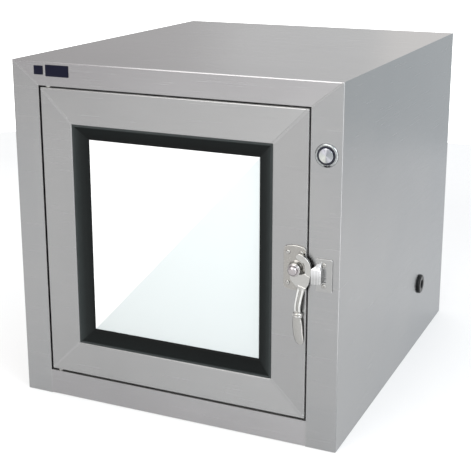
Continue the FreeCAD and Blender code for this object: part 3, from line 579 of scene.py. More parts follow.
# EPDM: black with a painted highlight greying its outer lip, hardly shiny anywhere. The sides of
# the ring are numbered from 0 along its UV map, and the even ones are level.
rubber_with_painted_light, tree = new_finish("epdm_rubber_painted_light")
parts = map_parts(tree, "section")
share = add(tree, "MapRange", {"Value": parts["Y"], "From Max": SIGHT_BORDER * MM})
level, upright = (add(tree, "ValToRGB", {"Fac": share},
                      [(distance / SIGHT_BORDER, code) for distance, code in bands])
                  for bands in (LEVEL_PAINTED_BANDS, UPRIGHT_PAINTED_BANDS))
turn = add(tree, "Math", {0: parts["X"], 1: 2.0}, operation="MODULO")
is_upright = add(tree, "Math", {0: turn, 1: 1.0}, operation="GREATER_THAN")
bands = add(tree, "Mix", {"Factor": is_upright, "A": level, "B": upright}, data_type="RGBA")
place = add(tree, "TexCoord").outputs["Object"]
blush = add(tree, "TexNoise", {"Vector": place, "Scale": 1 / BLUSH_SIZE, "Detail": 4.0})
dusted = add(tree, "Mix", {
    "Factor": blush, "A": BLUSH_TONES[0], "B": BLUSH_TONES[1]}, data_type="RGBA")
colour = add(tree, "Mix", {
    "Factor": 1.0, "A": bands, "B": dusted}, data_type="RGBA", blend_type="MULTIPLY")
rough = add(tree, "MapRange", {"Value": blush, "To Min": 0.38, "To Max": 0.6})
bump = add(tree, "Bump", {"Height": blush, "Strength": 0.25, "Distance": 0.1 * MM})
surface(tree, Base_Color=colour, Roughness=rough, Normal=bump, Specular_IOR_Level=0.1)
print("glazing rubber with", len(LEVEL_PAINTED_BANDS), "level and", len(UPRIGHT_PAINTED_BANDS), "upright bands")

# %% [markdown]
# ### Glass and the white film
# The door has two clear panes, and the outer one carries a white film, so that the window reads
# as an even white sheet. Its half below the diagonal is painted pale aqua, a painted reflection.
# The film is a glossy polyester: a diffuse white under a hard clear coat. The lamp's tube is
# quartz, a little hazy.
# Both glasses differ only in tint, in haze and in how fast these vary, so they share a function.

# %% Glass
def clear(name, light, dark, wave, detail, haze, **inputs):
    """Glass whose tint and haze vary over waves of a given size in millimetres."""
    finish, tree = new_finish(name)
    place = add(tree, "TexCoord").outputs["Object"]
    waves = add(tree, "TexNoise", {"Vector": place, "Scale": 1 / (wave * MM), "Detail": detail})
    tint = add(tree, "Mix", {"Factor": waves, "A": srgb(dark), "B": srgb(light)}, data_type="RGBA")
    rough = add(tree, "MapRange", {"Value": waves, "To Min": haze[0], "To Max": haze[1]})
    surface(tree, Base_Color=tint, Roughness=rough, **inputs)
    return finish


# Float glass: clear, with a breath of green and the faint smears of a wiped pane.
clear_glass = clear("clear_float_glass", "F8FDFB", "F2FAF7", 90, 1.0, (0.0, 0.02),
                    Transmission_Weight=1.0, IOR=1.52)
# Fused quartz with the white bloom of a lamp: half clear, cool and softly hazy.
quartz_glass = clear("quartz_lamp_glass", "F4F6FA", "E4E9F2", 25, 2.0, (0.06, 0.18),
                     Transmission_Weight=0.55, IOR=1.46)
print("glass: 2 finishes")

# %% White film
FILM_WHITE = "FFFFFF"
FILM_PAINTED_REFLECTION_AQUA = "C4CACA"
FILM_EDGE = 0.006

# Polyester film: an even white under a hard, thin gloss, with a painted reflection in pale aqua
# below the diagonal of its UV map.
white_film, tree = new_finish("white_polyester_film")
parts = map_parts(tree, "film")
# Painted reflection: the half below the diagonal turns pale aqua.
side = add(tree, "Math", {0: parts["X"], 1: parts["Y"]}, operation="SUBTRACT")
edge = add(tree, "MapRange", {
    "Value": side, "From Min": -FILM_EDGE, "From Max": FILM_EDGE}, interpolation_type="SMOOTHSTEP")
colour = add(tree, "Mix", {
    "Factor": edge, "A": srgb(FILM_WHITE), "B": srgb(FILM_PAINTED_REFLECTION_AQUA)}, data_type="RGBA")
surface(tree, Base_Color=colour, Roughness=0.16, Coat_Weight=0.6, Coat_Roughness=0.03)
print("film parted along the diagonal")

# %% [markdown]
# ## Pieces that keep their solids
# Folded sheet, tubes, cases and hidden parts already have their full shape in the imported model,
# bends and drilled holes included. They only need a finish, which goes straight onto the node.

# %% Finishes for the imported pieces
NODE_FINISHES = {
    steel_upright: ["left_side_skin", "right_side_skin", "chamber_left_wall",
                    "chamber_right_wall"],
    steel_level: ["top_skin", "bottom_skin", "chamber_ribs"],
    steel_inside: ["chamber_floor", "chamber_ceiling", "front_door_rebate", "rear_door_rebate"],
    steel_door: ["front_door_frame", "rear_door_frame"],
    zinc_steel: ["hinge_pins", "button_nuts"],
    sintered_bronze: ["front_hinge_bushes", "rear_hinge_bushes"],
    nickel_magnet: ["door_magnets", "front_armature_plate", "rear_armature_plate"],
    mill_aluminium: ["uv_lamp_reflector", "front_glass_spacer", "rear_glass_spacer"],
    white_holder: ["uv_lamp_holders"],
    white_enamel: ["lamp_ballast", "interlock_controller"],
    grey_polyamide: ["terminal_block", "button_switches"],
}
for finish, names in NODE_FINISHES.items():
    for name in names:
        nodes[name].data.materials.clear()
        nodes[name].data.materials.append(finish)
print("finished", sum(len(names) for names in NODE_FINISHES.values()), "packed pieces")

# %% [markdown]
# ## Window: rubber, glass and film
# A black rubber channel holds the glass in the door tube. On the real door it is an extrusion,
# cut and joined in mitres, so it is made the same way: one section with small rounded corners,
# swept round the opening with mitred corners. A Curve with a bevel object would thin the
# section at each corner, so the sweep is written out in mesh code.

# %% Glazing rubber's section
rubber_width = (rubber_high.x - glass_high.x) / MM
glass_front = (glass_low.y - face_y) / MM
glass_back = (glass_high.y - face_y) / MM
rubber_back = (rubber_high.y - face_y) / MM
GLAZING_SECTION = [
    (0.0, 1.5, 0.5), (0.9, 1.0, 0.7), (3.2, 1.0, 1.0), (4.2, 2.2, 0.6), (6.4, 3.1, 0.8),
    (SIGHT_BORDER - 2.4, glass_front - 2.3, 0.8), (SIGHT_BORDER, glass_front - 1.1, 0.5),
    (SIGHT_BORDER, glass_front, 0.0), (rubber_width, glass_front, 0.0),
    (rubber_width, glass_back, 0.0), (SIGHT_BORDER, glass_back, 0.0),
    (SIGHT_BORDER, rubber_back - 0.4, 0.3), (SIGHT_BORDER - 3.0, rubber_back, 0.5),
    (0.0, rubber_back, 0.0),
]
on_both_doors("glazing_rubber", lambda: mitred_ring(rounded(GLAZING_SECTION), rubber_high.x,
                                                    rubber_low.z, rubber_high.z),
              rubber_with_painted_light, "glazing_gasket")

# %% Panes with arrissed edges
ARRIS = 0.6
PANE_THICKNESS = 5.0 * MM


def rounded_slab(bm, low, high, arris):
    """A box between two corners with its edges broken by a small chamfer."""
    made = bmesh.ops.create_cube(bm, size=1.0)["verts"]
    size = high - low
    for vert in made:
        vert.co = low + Vector((s * (c + 0.5) for s, c in zip(size, vert.co)))
    rims = list({edge for vert in made for edge in vert.link_edges})
    bmesh.ops.bevel(bm, geom=rims, offset=arris * MM, segments=2, affect="EDGES", profile=0.5)


def panes():
    bm = bmesh.new()
    for near in (glass_low.y, glass_high.y - PANE_THICKNESS):
        rounded_slab(bm, Vector((glass_low.x, near, glass_low.z)),
                     Vector((glass_high.x, near + PANE_THICKNESS, glass_high.z)), ARRIS)
    return bm


on_both_doors("float_glass", panes, clear_glass, "door_panes", sharp_angle=20)

# %% White film on the outer pane
FILM_THICKNESS = 0.2 * MM
FILM_MARGIN = 0.3
FILM_BREAK = 0.05
GLUE = 0.01 * MM
film_border = (SIGHT_BORDER + FILM_MARGIN) * MM
film_half = rubber_high.x - film_border
film_low = rubber_low.z + film_border
film_high = rubber_high.z - film_border


def film():
    bm = bmesh.new()
    rounded_slab(bm, Vector((-film_half, glass_low.y - FILM_THICKNESS, film_low)),
                 Vector((film_half, glass_low.y - GLUE, film_high)), FILM_BREAK)
    uv = bm.loops.layers.uv.new("film")
    for face in bm.faces:
        for loop in face.loops:
            loop[uv].uv = ((loop.vert.co.x + film_half) / (2 * film_half),
                           (loop.vert.co.z - film_low) / (film_high - film_low))
    return bm


on_both_doors("window_film", film, white_film)

# %% Door seal
seal_low, seal_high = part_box("front_door_seal")
seal_front = (seal_low.y - face_y) / MM
seal_back = (seal_high.y - face_y) / MM
SEAL_WIDTH = 8.0
SEAL_SECTION = [(0.0, seal_front, 0.0), (SEAL_WIDTH, seal_front, 0.0),
                (SEAL_WIDTH, seal_front + 1.2, 0.4), (SEAL_WIDTH - 1.0, seal_front + 1.6, 0.4),
                (SEAL_WIDTH - 1.0, seal_back, 1.8), (1.0, seal_back, 1.8),
                (1.0, seal_front + 1.6, 0.4), (0.0, seal_front + 1.2, 0.4)]
on_both_doors("bulb_seal", lambda: mitred_ring(rounded(SEAL_SECTION), seal_high.x, seal_low.z,
                                               seal_high.z),
              seal_rubber, "door_seal")

# %% [markdown]
# ## Latch castings
# The lever, its base plate and the keeper are zinc castings, tumbled and plated, so no edge on
# them is sharp. A voxel remesh joins the solid and its extra ribs into one skin, a few smoothing
# passes round every edge by about half a millimetre, as tumbling does, and a decimation takes
# out the spare faces. A bevel would need clean edges, which a casting's blends don't have.
#
# Three small functions may work on a casting, as a foundry would: one shapes the solid before
# the remesh, one files the finished skin, and one says how bright each point is painted: partly
# wear, partly painted highlight.

# %% Cast look from a solid
def cast(name, node, end, finish, voxel, passes, keep, shape, file=None, wear_and_highlight_at=None):
    """A softened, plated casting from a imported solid, worked on as if it were at the front."""
    turn = ENDS[end]
    bm = solid_mesh(node)
    bm.transform(turn.inverted())
    shape(bm)
    piece = make_piece(name, bm, finish, 180)
    remesh = piece.modifiers.new("one skin", "REMESH")
    remesh.mode = "VOXEL"
    remesh.voxel_size = voxel * MM
    tumble = piece.modifiers.new("tumbled edges", "SMOOTH")
    tumble.factor = 0.5
    tumble.iterations = passes
    thin = piece.modifiers.new("fewer faces", "DECIMATE")
    thin.ratio = keep
    mesh = keep_result(piece)
    mesh.shade_smooth()
    if file:
        for vert in mesh.vertices:
            vert.co = file(vert.co)
    # Per point, how bright the casting is painted: partly wear, partly painted highlight.
    mark = mesh.attributes.new("worn_and_highlit", "FLOAT", "POINT")
    mark.data.foreach_set("value", [wear_and_highlight_at(vert.co) if wear_and_highlight_at else 0.0 for vert in mesh.vertices])
    mesh.transform(turn)
    return piece


# %% Easing and lofting
def ease(value, start, end):
    """0 before start, 1 after end, and a smooth step between."""
    share = min(1.0, max(0.0, (value - start) / (end - start)))
    return share * share * (3 - 2 * share)


def within(value, start, full, fade, end):
    """Rises from 0 at start to 1 at full, and falls again from fade to end."""
    return ease(value, start, full) * (1 - ease(value, fade, end))


def loft(bm, rows):
    """A closed skin over rows of as many points each, with a flat cap at either end."""
    rings = [[bm.verts.new(point) for point in row] for row in rows]
    for low, high in zip(rings, rings[1:]):
        for k in range(len(low)):
            after = (k + 1) % len(low)
            bm.faces.new((low[k], low[after], high[after], high[k]))
    bm.faces.new(rings[0])
    bm.faces.new(list(reversed(rings[-1])))


# %% The hub, pared
pivot = middle("front_latch_knob")
HUB_RADII = (6.0, 13.2)
HUB_PARED = 0.78
SEAT_OUT = 3.2


def by_pivot(aside, out, up):
    """A place in millimetres from the pivot's axis, out of the front face."""
    return Vector((pivot.x + aside * MM, face_y - out * MM, pivot.z + up * MM))


def pare_hub(bm):
    """Draws the hub, and the seat behind it, nearer to the pivot."""
    for vert in bm.verts:
        radius = Vector((vert.co.x - pivot.x, vert.co.z - pivot.z)).length / MM
        if HUB_RADII[0] < radius < HUB_RADII[1] and vert.co.y < face_y - SEAT_OUT * MM:
            vert.co.x = pivot.x + (vert.co.x - pivot.x) * HUB_PARED
            vert.co.z = pivot.z + (vert.co.z - pivot.z) * HUB_PARED


print("pivot at", [round(value, 4) for value in pivot])

# %% [markdown]
# The lever is the piece that a hand finds. The solid gives its hub, hook, neck and grip as
# plain bodies. Here the hub is pared, the neck is cranked towards the door so that the grip
# lies closer to it, the grip gets its even width and blunt end, two raised bands go round the
# collar, and a row of discs gives the hook its full, round tip. All of that is done before the
# remesh, which melts the pieces into one casting. The neck's back is filed round afterwards,
# and its rails, the bands and the hook are painted bright: partly wear, partly painted highlight.

# %% Shape of the lever
lever_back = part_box("front_latch_lever")[1].y
NECK_TOP = 24.0
STRETCH = 1.05
CRANK_SPAN = (50.0, 72.0)
CRANK = 4.2
GRIP_FLATTEN = 0.82
COLLAR_DROP = (68.4, 72.2)
COLLAR_SHIFT = 4.0
COLLAR_HALF = (6.4, 5.0, 1.5)
BALL = 10
COLLAR_OUT = 6.1
# Drop below the pivot, place aside, width and depth of the grip, in millimetres.
GRIP_ROWS = ((73.0, 4.0, 12.6, 6.0), (80.0, 3.9, 14.2, 7.2), (90.0, 4.6, 15.2, 7.8),
             (101.0, 6.2, 15.4, 7.6), (109.0, 7.8, 14.4, 6.8), (113.6, 8.8, 12.0, 5.6),
             (116.0, 9.4, 7.6, 3.4))
GRIP_OUT = 5.5
# Angle and radius of the discs at the hook's tip.
HOOK_TIP = ((50, 5.0), (60, 4.9), (69, 4.7))
HOOK_MIDDLE = 21.6
HOOK_OUT = (5.6, 11.0)
ROUND = [2 * math.pi * k / 32 for k in range(32)]


def drop_of(co):
    """How far a point lies below the pivot, in millimetres."""
    return (pivot.z - co.z) / MM


def shape_lever(bm):
    pare_hub(bm)
    for vert in bm.verts:
        drop = drop_of(vert.co)
        if drop > NECK_TOP:
            vert.co.z = pivot.z - (NECK_TOP + (drop - NECK_TOP) * STRETCH) * MM
            crank = ease(drop, *CRANK_SPAN)
            flatten = 1 - (1 - GRIP_FLATTEN) * crank
            vert.co.y = lever_back + (vert.co.y - lever_back) * flatten + CRANK * crank * MM
    for drop in COLLAR_DROP:
        place = Matrix.Translation(by_pivot(COLLAR_SHIFT, COLLAR_OUT, -drop))
        size = Matrix.Diagonal((*(half / BALL for half in COLLAR_HALF), 1))
        bmesh.ops.create_uvsphere(bm, u_segments=40, v_segments=20, radius=BALL * MM,
                                  matrix=place @ size)
    loft(bm, [[by_pivot(aside + width / 2 * math.cos(a), GRIP_OUT + depth / 2 * math.sin(a), -drop)
               for a in ROUND] for drop, aside, width, depth in GRIP_ROWS])
    for angle, radius in HOOK_TIP:
        x = HOOK_MIDDLE * math.cos(math.radians(angle))
        z = HOOK_MIDDLE * math.sin(math.radians(angle))
        loft(bm, [[by_pivot(x + radius * math.cos(a), out, z + radius * math.sin(a))
                   for a in ROUND] for out in HOOK_OUT])


# %% Filing and rubbing of the lever
NECK_END = 68.0
NECK_SWING = (12.5, 4.8)
NECK_HALF = 5.2
NECK_DEPTH = 6.0
NECK_SPAN = (22.0, 32.0, 62.0, 68.0)
BACK_LIFT = 3.4
# Where the rails painted bright lie: across the neck, down it and out from the face.
RAIL_ACROSS = (1.6, 2.4, 4.2, 5.2)
RAIL_DOWN = (25.0, 29.0, 63.0, 66.0)
RAIL_OUT = (6.0, 8.0)
BAND_DOWN = (66.0, 67.5, 73.0, 74.5)
HOOK_FADE = (22.0, 30.0)
RAILS_WEAR_AND_HIGHLIGHT = 0.72
BANDS_WEAR_AND_HIGHLIGHT = 0.6
HOOK_WEAR_AND_HIGHLIGHT = 0.13


def beside_neck(co):
    """Distance in millimetres from the middle of the neck, which bends as it runs down."""
    share = min(1.0, max(0.0, (drop_of(co) - NECK_TOP) / (NECK_END - NECK_TOP)))
    centre = NECK_SWING[1] + (NECK_SWING[0] - NECK_SWING[1]) * (1 - share) ** 1.5
    return (co.x - pivot.x) / MM - centre


def round_back(co):
    """Lifts the sides of the neck's back off the door, so that its section is half round."""
    back = lever_back + CRANK * ease(drop_of(co), *CRANK_SPAN) * MM
    deep = min(1.0, max(0.0, 1 - (back - co.y) / (NECK_DEPTH * MM)))
    aside = min(1.0, abs(beside_neck(co)) / NECK_HALF)
    lift = BACK_LIFT * within(drop_of(co), *NECK_SPAN) * deep * aside ** 2
    return Vector((co.x, co.y - lift * MM, co.z))


def lever_wear_and_highlight(co):
    """Bright on the collar's bands and the neck's rails, and a little on the hook and web: partly
    wear, partly painted highlight.
    """
    drop = drop_of(co)
    rails = within(abs(beside_neck(co)), *RAIL_ACROSS) * within(drop, *RAIL_DOWN)
    rails *= ease((face_y - co.y) / MM, *RAIL_OUT)
    wave = (drop - COLLAR_DROP[0]) / (COLLAR_DROP[1] - COLLAR_DROP[0])
    bands = max(0.0, math.cos(2 * math.pi * wave)) * within(drop, *BAND_DOWN)
    return max(RAILS_WEAR_AND_HIGHLIGHT * rails, BANDS_WEAR_AND_HIGHLIGHT * bands,
               HOOK_WEAR_AND_HIGHLIGHT * (1 - ease(drop, *HOOK_FADE)))


for end in ENDS:
    lever = cast(f"{end}_lever_casting", f"{end}_latch_lever", end, satin_nickel, 0.4, 4, 0.35,
                 shape_lever, round_back, lever_wear_and_highlight)
    settle(lever, f"{end}_latch", f"{end}_latch_lever")

# %% [markdown]
# The keeper's strap is pressed up from its plate as a hood: it stands up beside the slot, turns
# over towards the door and runs down to the plate in a ramp at its top. The hook slides under
# it, and the strap is painted brighter than the plate: partly wear, partly painted highlight.

# %% Shape of the keeper
keeper_low, keeper_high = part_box("front_keeper")
keeper_middle = (keeper_low.z + keeper_high.z) / 2
STRAP_WALL = 14.5
STRAP_FOOT = 1.0
STRAP_OUTER = ((0.0, STRAP_FOOT), (0.0, 7.0), (-0.6, 10.2), (-2.2, 12.8), (-4.8, 14.3),
               (-8.5, 15.0), (-14.3, 15.2))
STRAP_INNER = ((-14.3, 12.9), (-9.0, 12.6), (-6.0, 12.0), (-4.2, 10.9), (-3.0, 9.0),
               (-2.6, 6.5), (-2.6, STRAP_FOOT))
# Height above the keeper's middle, share of the strap's rise, how far it draws in, and its wall.
STRAP_LEVELS = ((-10.7, 1.0, 0.0, 0.0), (10.5, 1.0, 0.0, 0.0), (12.2, 0.97, 0.06, 0.3),
                (14.5, 0.8, 0.3, 0.8), (17.0, 0.52, 0.5, 1.6), (20.5, 0.14, 0.7, 2.4))
STREAK_PITCH = 4.3


def shape_keeper(bm):
    wall = keeper_low.x + STRAP_WALL * MM
    loft(bm, [[Vector((wall + (aside * (1 - draw) - shift) * MM,
                       face_y - (STRAP_FOOT + (out - STRAP_FOOT) * rise) * MM,
                       keeper_middle + level * MM))
               for aside, out in STRAP_OUTER + STRAP_INNER]
              for level, rise, draw, shift in STRAP_LEVELS])


def keeper_wear_and_highlight(co):
    """Brighter up the strap, in upright streaks of painted highlight, partly wear."""
    level = (co.z - keeper_middle) / MM
    streak = 0.5 + 0.5 * math.sin(2 * math.pi * co.x / (STREAK_PITCH * MM))
    brightened = 0.05 + 0.2 * streak + 0.42 * ease(level, -4.0, 10.0)
    return ease((face_y - co.y) / MM, 3.0, 8.0) * brightened


# %% Base plates and keepers
for end in ENDS:
    base = cast(f"{end}_base_casting", f"{end}_latch_base", end, dull_nickel, 0.45, 6, 0.3,
                pare_hub)
    settle(base, f"{end}_door", f"{end}_latch_base")
    catch = cast(f"{end}_keeper_casting", f"{end}_keeper", end, keeper_nickel, 0.4, 4, 0.3,
                 shape_keeper, wear_and_highlight_at=keeper_wear_and_highlight)
    settle(catch, "cabinet", f"{end}_keeper")

# %% [markdown]
# ## Turned pieces
# The latch knob, the push button and the cable grommet are round, so each is a profile turned
# about its axis. The profile is where the looks are: a domed nut with a shoulder, a bezel with
# a rolled rim, a cap with a soft edge.

# %% Latch knob
knob_low, knob_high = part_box("front_latch_knob")
KNOB_PROFILE = [(0.0, 0.0), (8.6, 0.0), (9.0, 0.35), (9.0, 1.0), (8.5, 1.5), (7.9, 1.5),
                (7.5, 1.9), (7.4, 2.4), (7.4, 4.0), (7.2, 4.9), (6.7, 5.9), (5.8, 6.8),
                (4.6, 7.5), (3.1, 7.95), (1.5, 8.1), (0.0, 8.15)]
OUT = (0, -1, 0)
seat = Vector((pivot.x, knob_high.y, pivot.z))
squash = min(1.0, (knob_high.y - knob_low.y) / MM / KNOB_PROFILE[-1][1])
on_both_doors("domed_nut", lambda: lathe(bmesh.new(), [(r, out * squash) for r, out in
                                                       KNOB_PROFILE], seat, OUT),
              nut_nickel, "latch_knob", sharp_angle=50)

# %% Sizes of the push button
button = middle("front_button_cap")
axis_point = Vector((button.x, face_y, button.z))


def turned_sizes(node):
    """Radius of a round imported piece, and how far its front and its back stand out."""
    low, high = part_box(node)
    return (high.x - low.x) / 2 / MM, (face_y - low.y) / MM, (face_y - high.y) / MM


bezel, rim, tail = turned_sizes("front_button_bezel")
ring, _, ring_back = turned_sizes("front_button_light_ring")
cap, crown, cap_back = turned_sizes("front_button_cap")
print("button: bezel", round(bezel, 2), "ring", round(ring, 2), "cap", round(cap, 2))

# %% Push button
BARREL = 15.0
RING_WALL = 2.3
BEZEL_PROFILE = [(ring + 0.1, tail), (BARREL, tail), (BARREL, 0.0), (bezel, 0.0), (bezel, 0.5),
                 (bezel - 0.3, 1.1), (bezel - 0.9, 1.75), (bezel - 1.7, 2.25), (bezel - 2.5, rim),
                 (ring + 1.0, rim), (ring + 0.5, rim - 0.15), (ring + 0.1, rim - 0.7)]
RING_PROFILE = [(ring - RING_WALL, ring_back), (ring, ring_back), (ring, 1.7), (ring - 0.2, 2.05),
                (ring - 0.6, 2.2), (ring - RING_WALL + 0.5, 2.2), (ring - RING_WALL, 1.9)]
CAP_PROFILE = [(0.0, cap_back), (cap, cap_back), (cap, crown - 1.0), (cap - 0.1, crown - 0.62),
               (cap - 0.35, crown - 0.3), (cap - 0.7, crown - 0.1), (cap - 1.1, crown),
               (cap * 0.5, crown - 0.05), (0.0, crown - 0.07)]
for end, turn in ENDS.items():
    for name, profile, closed, finish, body, slot, node in (
            ("bezel_ring", BEZEL_PROFILE, True, buffed_chrome, "cabinet", "button_metal",
             "button_bezel"),
            ("lit_ring", RING_PROFILE, True, smoked_ring, "cabinet", "button_lens",
             "button_light_ring"),
            ("turned_cap", CAP_PROFILE, False, turned_stainless, f"{end}_button",
             "button_metal", "button_cap")):
        bm = lathe(bmesh.new(), profile, axis_point, OUT, closed)
        bm.transform(turn)
        settle(make_piece(f"{end}_{name}", bm, finish), body, f"{end}_{node}")

# %% Cable grommet
grommet = middle("cable_grommet")
grommet_low, grommet_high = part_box("cable_grommet")
flange = (grommet_high.z - grommet_low.z) / 2 / MM
root = (grommet_low.x - half_width) / MM
LIP = 5.0
BORE = 7.5
NECK = 12.0
SHEET = 1.5
GROMMET_SECTION = [(-flange, 0.0, 0.4), (-flange, LIP - 1.7, 1.4), (-flange + 2.2, LIP, 1.4),
                   (-BORE - 1.6, LIP, 1.0), (-BORE, LIP - 1.8, 0.9), (-BORE, root, 0.4),
                   (-flange, root, 0.6), (-flange, -SHEET, 0.0), (-NECK, -SHEET, 0.0),
                   (-NECK, 0.0, 0.0)]
bm = lathe(bmesh.new(), [(-p.x / MM, p.y / MM) for p in rounded(GROMMET_SECTION)],
           Vector((half_width, grommet.y, grommet.z)), (1, 0, 0), closed=True)
settle(make_piece("moulded_grommet", bm, grommet_rubber), "cabinet",
       "cable_grommet")

# %% [markdown]
# ## Lamp and badges
# The germicidal lamp shows only when a door stands open: a quartz tube with a pressed cap at
# either end, all turned. The two thin plates at the front's top left are blank. Their solids
# are right but for the edges, so these get a fine bevel that catches the light.

# %% Lamp tube with its end caps
tube_low, tube_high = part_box("uv_lamp_tube")
tube_axis = middle("uv_lamp_tube")
tube = (tube_high.z - tube_low.z) / 2 / MM
length = (tube_high.x - tube_low.x) / MM
CAP_LENGTH = 13.0
GLASS_PROFILE = [(0.0, 0.6), (tube - 1.6, 0.6), (tube - 0.7, 1.2), (tube - 0.4, 2.4),
                 (tube - 0.4, length - 2.4), (tube - 0.7, length - 1.2),
                 (tube - 1.6, length - 0.6), (0.0, length - 0.6)]
LAMP_CAP_PROFILE = [(0.0, 0.0), (tube - 1.4, 0.0), (tube - 0.4, 0.3), (tube, 1.0),
                    (tube, CAP_LENGTH - 1.0), (tube - 0.2, CAP_LENGTH),
                    (tube - 0.4, CAP_LENGTH), (tube - 0.4, 3.0), (0.0, 2.0)]
bm = lathe(bmesh.new(), GLASS_PROFILE, Vector((tube_low.x, tube_axis.y, tube_axis.z)), (1, 0, 0),
           steps=48)
settle(make_piece("germicidal_lamp_glass", bm, quartz_glass), "cabinet",
       "uv_lamp_tube")
bm = bmesh.new()
for x, way in ((tube_low.x, 1), (tube_high.x, -1)):
    lathe(bm, LAMP_CAP_PROFILE, Vector((x, tube_axis.y, tube_axis.z)), (way, 0, 0), steps=48)
settle(make_piece("germicidal_lamp_caps", bm, cap_aluminium), "cabinet")

# %% Badge plates
BADGE_BEVEL = 0.2 * MM
bm = solid_mesh("badge_plates")
bmesh.ops.dissolve_limit(bm, angle_limit=math.radians(1), verts=bm.verts[:], edges=bm.edges[:])
rims = [edge for edge in bm.edges if edge.calc_face_angle(0) > math.radians(60)]
bmesh.ops.bevel(bm, geom=rims, offset=BADGE_BEVEL, segments=3, affect="EDGES", profile=0.5)
settle(make_piece("blank_badges", bm, navy_plate), "cabinet", "badge_plates")

# %% [markdown]
# ## Screws by Geometry Nodes
# The latch and the keepers are held by twelve pan-head screws with a cross recess. One screw is
# modelled, and a node tree sets a copy on each point of a mesh that marks their places. Each
# copy is turned by a random angle from a fixed seed, as no fitter lines them up.

# %% One screw
HEAD_RADIUS = 3.6
HEAD_HEIGHT = 1.6
HEAD_PROFILE = [(0.0, -6.0), (1.7, -6.0), (2.0, -5.6), (2.0, 0.0), (3.45, 0.0),
                (HEAD_RADIUS, 0.15), (HEAD_RADIUS, 0.45), (3.4, 0.95), (2.9, 1.32), (2.1, 1.52),
                (1.1, HEAD_HEIGHT), (0.0, HEAD_HEIGHT)]
RECESS_LENGTH = 3.7
RECESS_WIDTH = 0.95
RECESS_SPAN = (0.45, 3.0)
RECESS_TAPER = 0.55

# The cross that a driver fits, as two tapered bars to cut from the head.
bm = bmesh.new()
for quarter in (0, 1):
    made = bmesh.ops.create_cube(bm, size=1.0)["verts"]
    for vert in made:
        top = vert.co.z > 0
        taper = 1.0 if top else RECESS_TAPER
        vert.co = Vector((vert.co.x * RECESS_LENGTH * taper,
                          vert.co.y * RECESS_WIDTH * taper, RECESS_SPAN[top])) * MM
    bmesh.ops.transform(bm, matrix=Matrix.Rotation(quarter * math.pi / 2, 4, "Z"), verts=made)
cutter = make_piece("cross recess", bm, zinc_steel)
screw = make_piece("pan head screw",
                   lathe(bmesh.new(), HEAD_PROFILE, Vector(), (0, 0, 1), steps=32), zinc_steel, 50)
cut = screw.modifiers.new("recess", "BOOLEAN")
cut.object = cutter
cut.solver = "EXACT"
cut.use_self = True
print("one screw,", len(keep_result(screw).polygons), "faces")
bpy.data.objects.remove(cutter)

# %% Geometry node trees
def new_tree(name, *sockets):
    """A Geometry Nodes group with the given inputs, and its input node."""
    tree = bpy.data.node_groups.new(name, "GeometryNodeTree")
    for label, kind, default in (("Geometry", "Geometry", None), *sockets,
                                 ("Finish", "Material", None)):
        socket = tree.interface.new_socket(label, in_out="INPUT", socket_type=f"NodeSocket{kind}")
        if default is not None:
            socket.default_value = default
    tree.interface.new_socket("Geometry", in_out="OUTPUT", socket_type="NodeSocketGeometry")
    return tree, add(tree, "NodeGroupInput")


def end_tree(tree, given, shape):
    """Makes the shape real, in the finish that was given, and puts it out."""
    real = add(tree, "GeometryNodeRealizeInstances", {"Geometry": shape})
    coat = add(tree, "GeometryNodeSetMaterial", {
        "Geometry": real, "Material": given.outputs["Finish"]})
    add(tree, "NodeGroupOutput", {"Geometry": coat})
    return tree


def grow(name, bm, tree, finish, **values):
    """Runs a tree on a guide mesh and keeps the result as a plain mesh piece."""
    guide = make_piece(name, bm, finish, 180)
    modifier = guide.modifiers.new(tree.name, "NODES")
    modifier.node_group = tree
    values["Finish"] = finish
    for socket in tree.interface.items_tree:
        if socket.in_out == "INPUT" and socket.name in values:
            modifier[socket.identifier] = values[socket.name]
    keep_result(guide)
    return guide


# %% The screw-setting tree
tree, given = new_tree("set screws on points", ("Screw", "Object", None), ("Seed", "Int", 3))
shape = add(tree, "GeometryNodeObjectInfo", {"Object": given.outputs["Screw"]})
place = add(tree, "GeometryNodeInputPosition")
parts = add(tree, "SeparateXYZ", {"Vector": place}).outputs
end_sign = add(tree, "Math", {0: parts["Y"]}, operation="SIGN")
outward = add(tree, "CombineXYZ", {"Y": end_sign})
stand = add(tree, "FunctionNodeAlignRotationToVector", {"Vector": outward}, axis="Z")
turn = add(tree, "FunctionNodeRandomValue", {
    "Min": 0.0, "Max": math.pi, "Seed": given.outputs["Seed"]})
about = add(tree, "FunctionNodeAxisAngleToRotation", {"Axis": (0, 0, 1), "Angle": turn})
both = add(tree, "FunctionNodeRotateRotation", {
    "Rotation": stand, "Rotate By": about}, rotation_space="LOCAL")
copies = add(tree, "GeometryNodeInstanceOnPoints", {
    "Points": given.outputs["Geometry"], "Instance": shape.outputs["Geometry"], "Rotation": both})
setter = end_tree(tree, given, copies)
print("tree:", setter.name)

# %% Places of the screws
def screw_places(node):
    """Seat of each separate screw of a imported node, in order from left to right."""
    bm = solid_mesh(node)
    left = set(bm.verts)
    places = []
    while left:
        island = []
        front = [left.pop()]
        while front:
            vert = front.pop()
            island.append(vert.co.copy())
            beside = {edge.other_vert(vert) for edge in vert.link_edges} & left
            left -= beside
            front.extend(beside)
        xs, ys, zs = zip(*island)
        tip = max(ys, key=abs)
        seat = tip - math.copysign(HEAD_HEIGHT * MM, tip)
        places.append(((min(xs) + max(xs)) / 2, seat, (min(zs) + max(zs)) / 2))
    bm.free()
    return sorted(places)


# %% Latch and keeper screws
for node, body in (("front_latch_screws", "front_door"), ("rear_latch_screws", "rear_door"),
                   ("keeper_screws", "cabinet")):
    bm = bmesh.new()
    for place in screw_places(node):
        bm.verts.new(place)
    heads = grow(node.replace("screws", "pan_heads"), bm, setter, zinc_steel, Screw=screw)
    settle(heads, body, node)
bpy.data.objects.remove(screw)

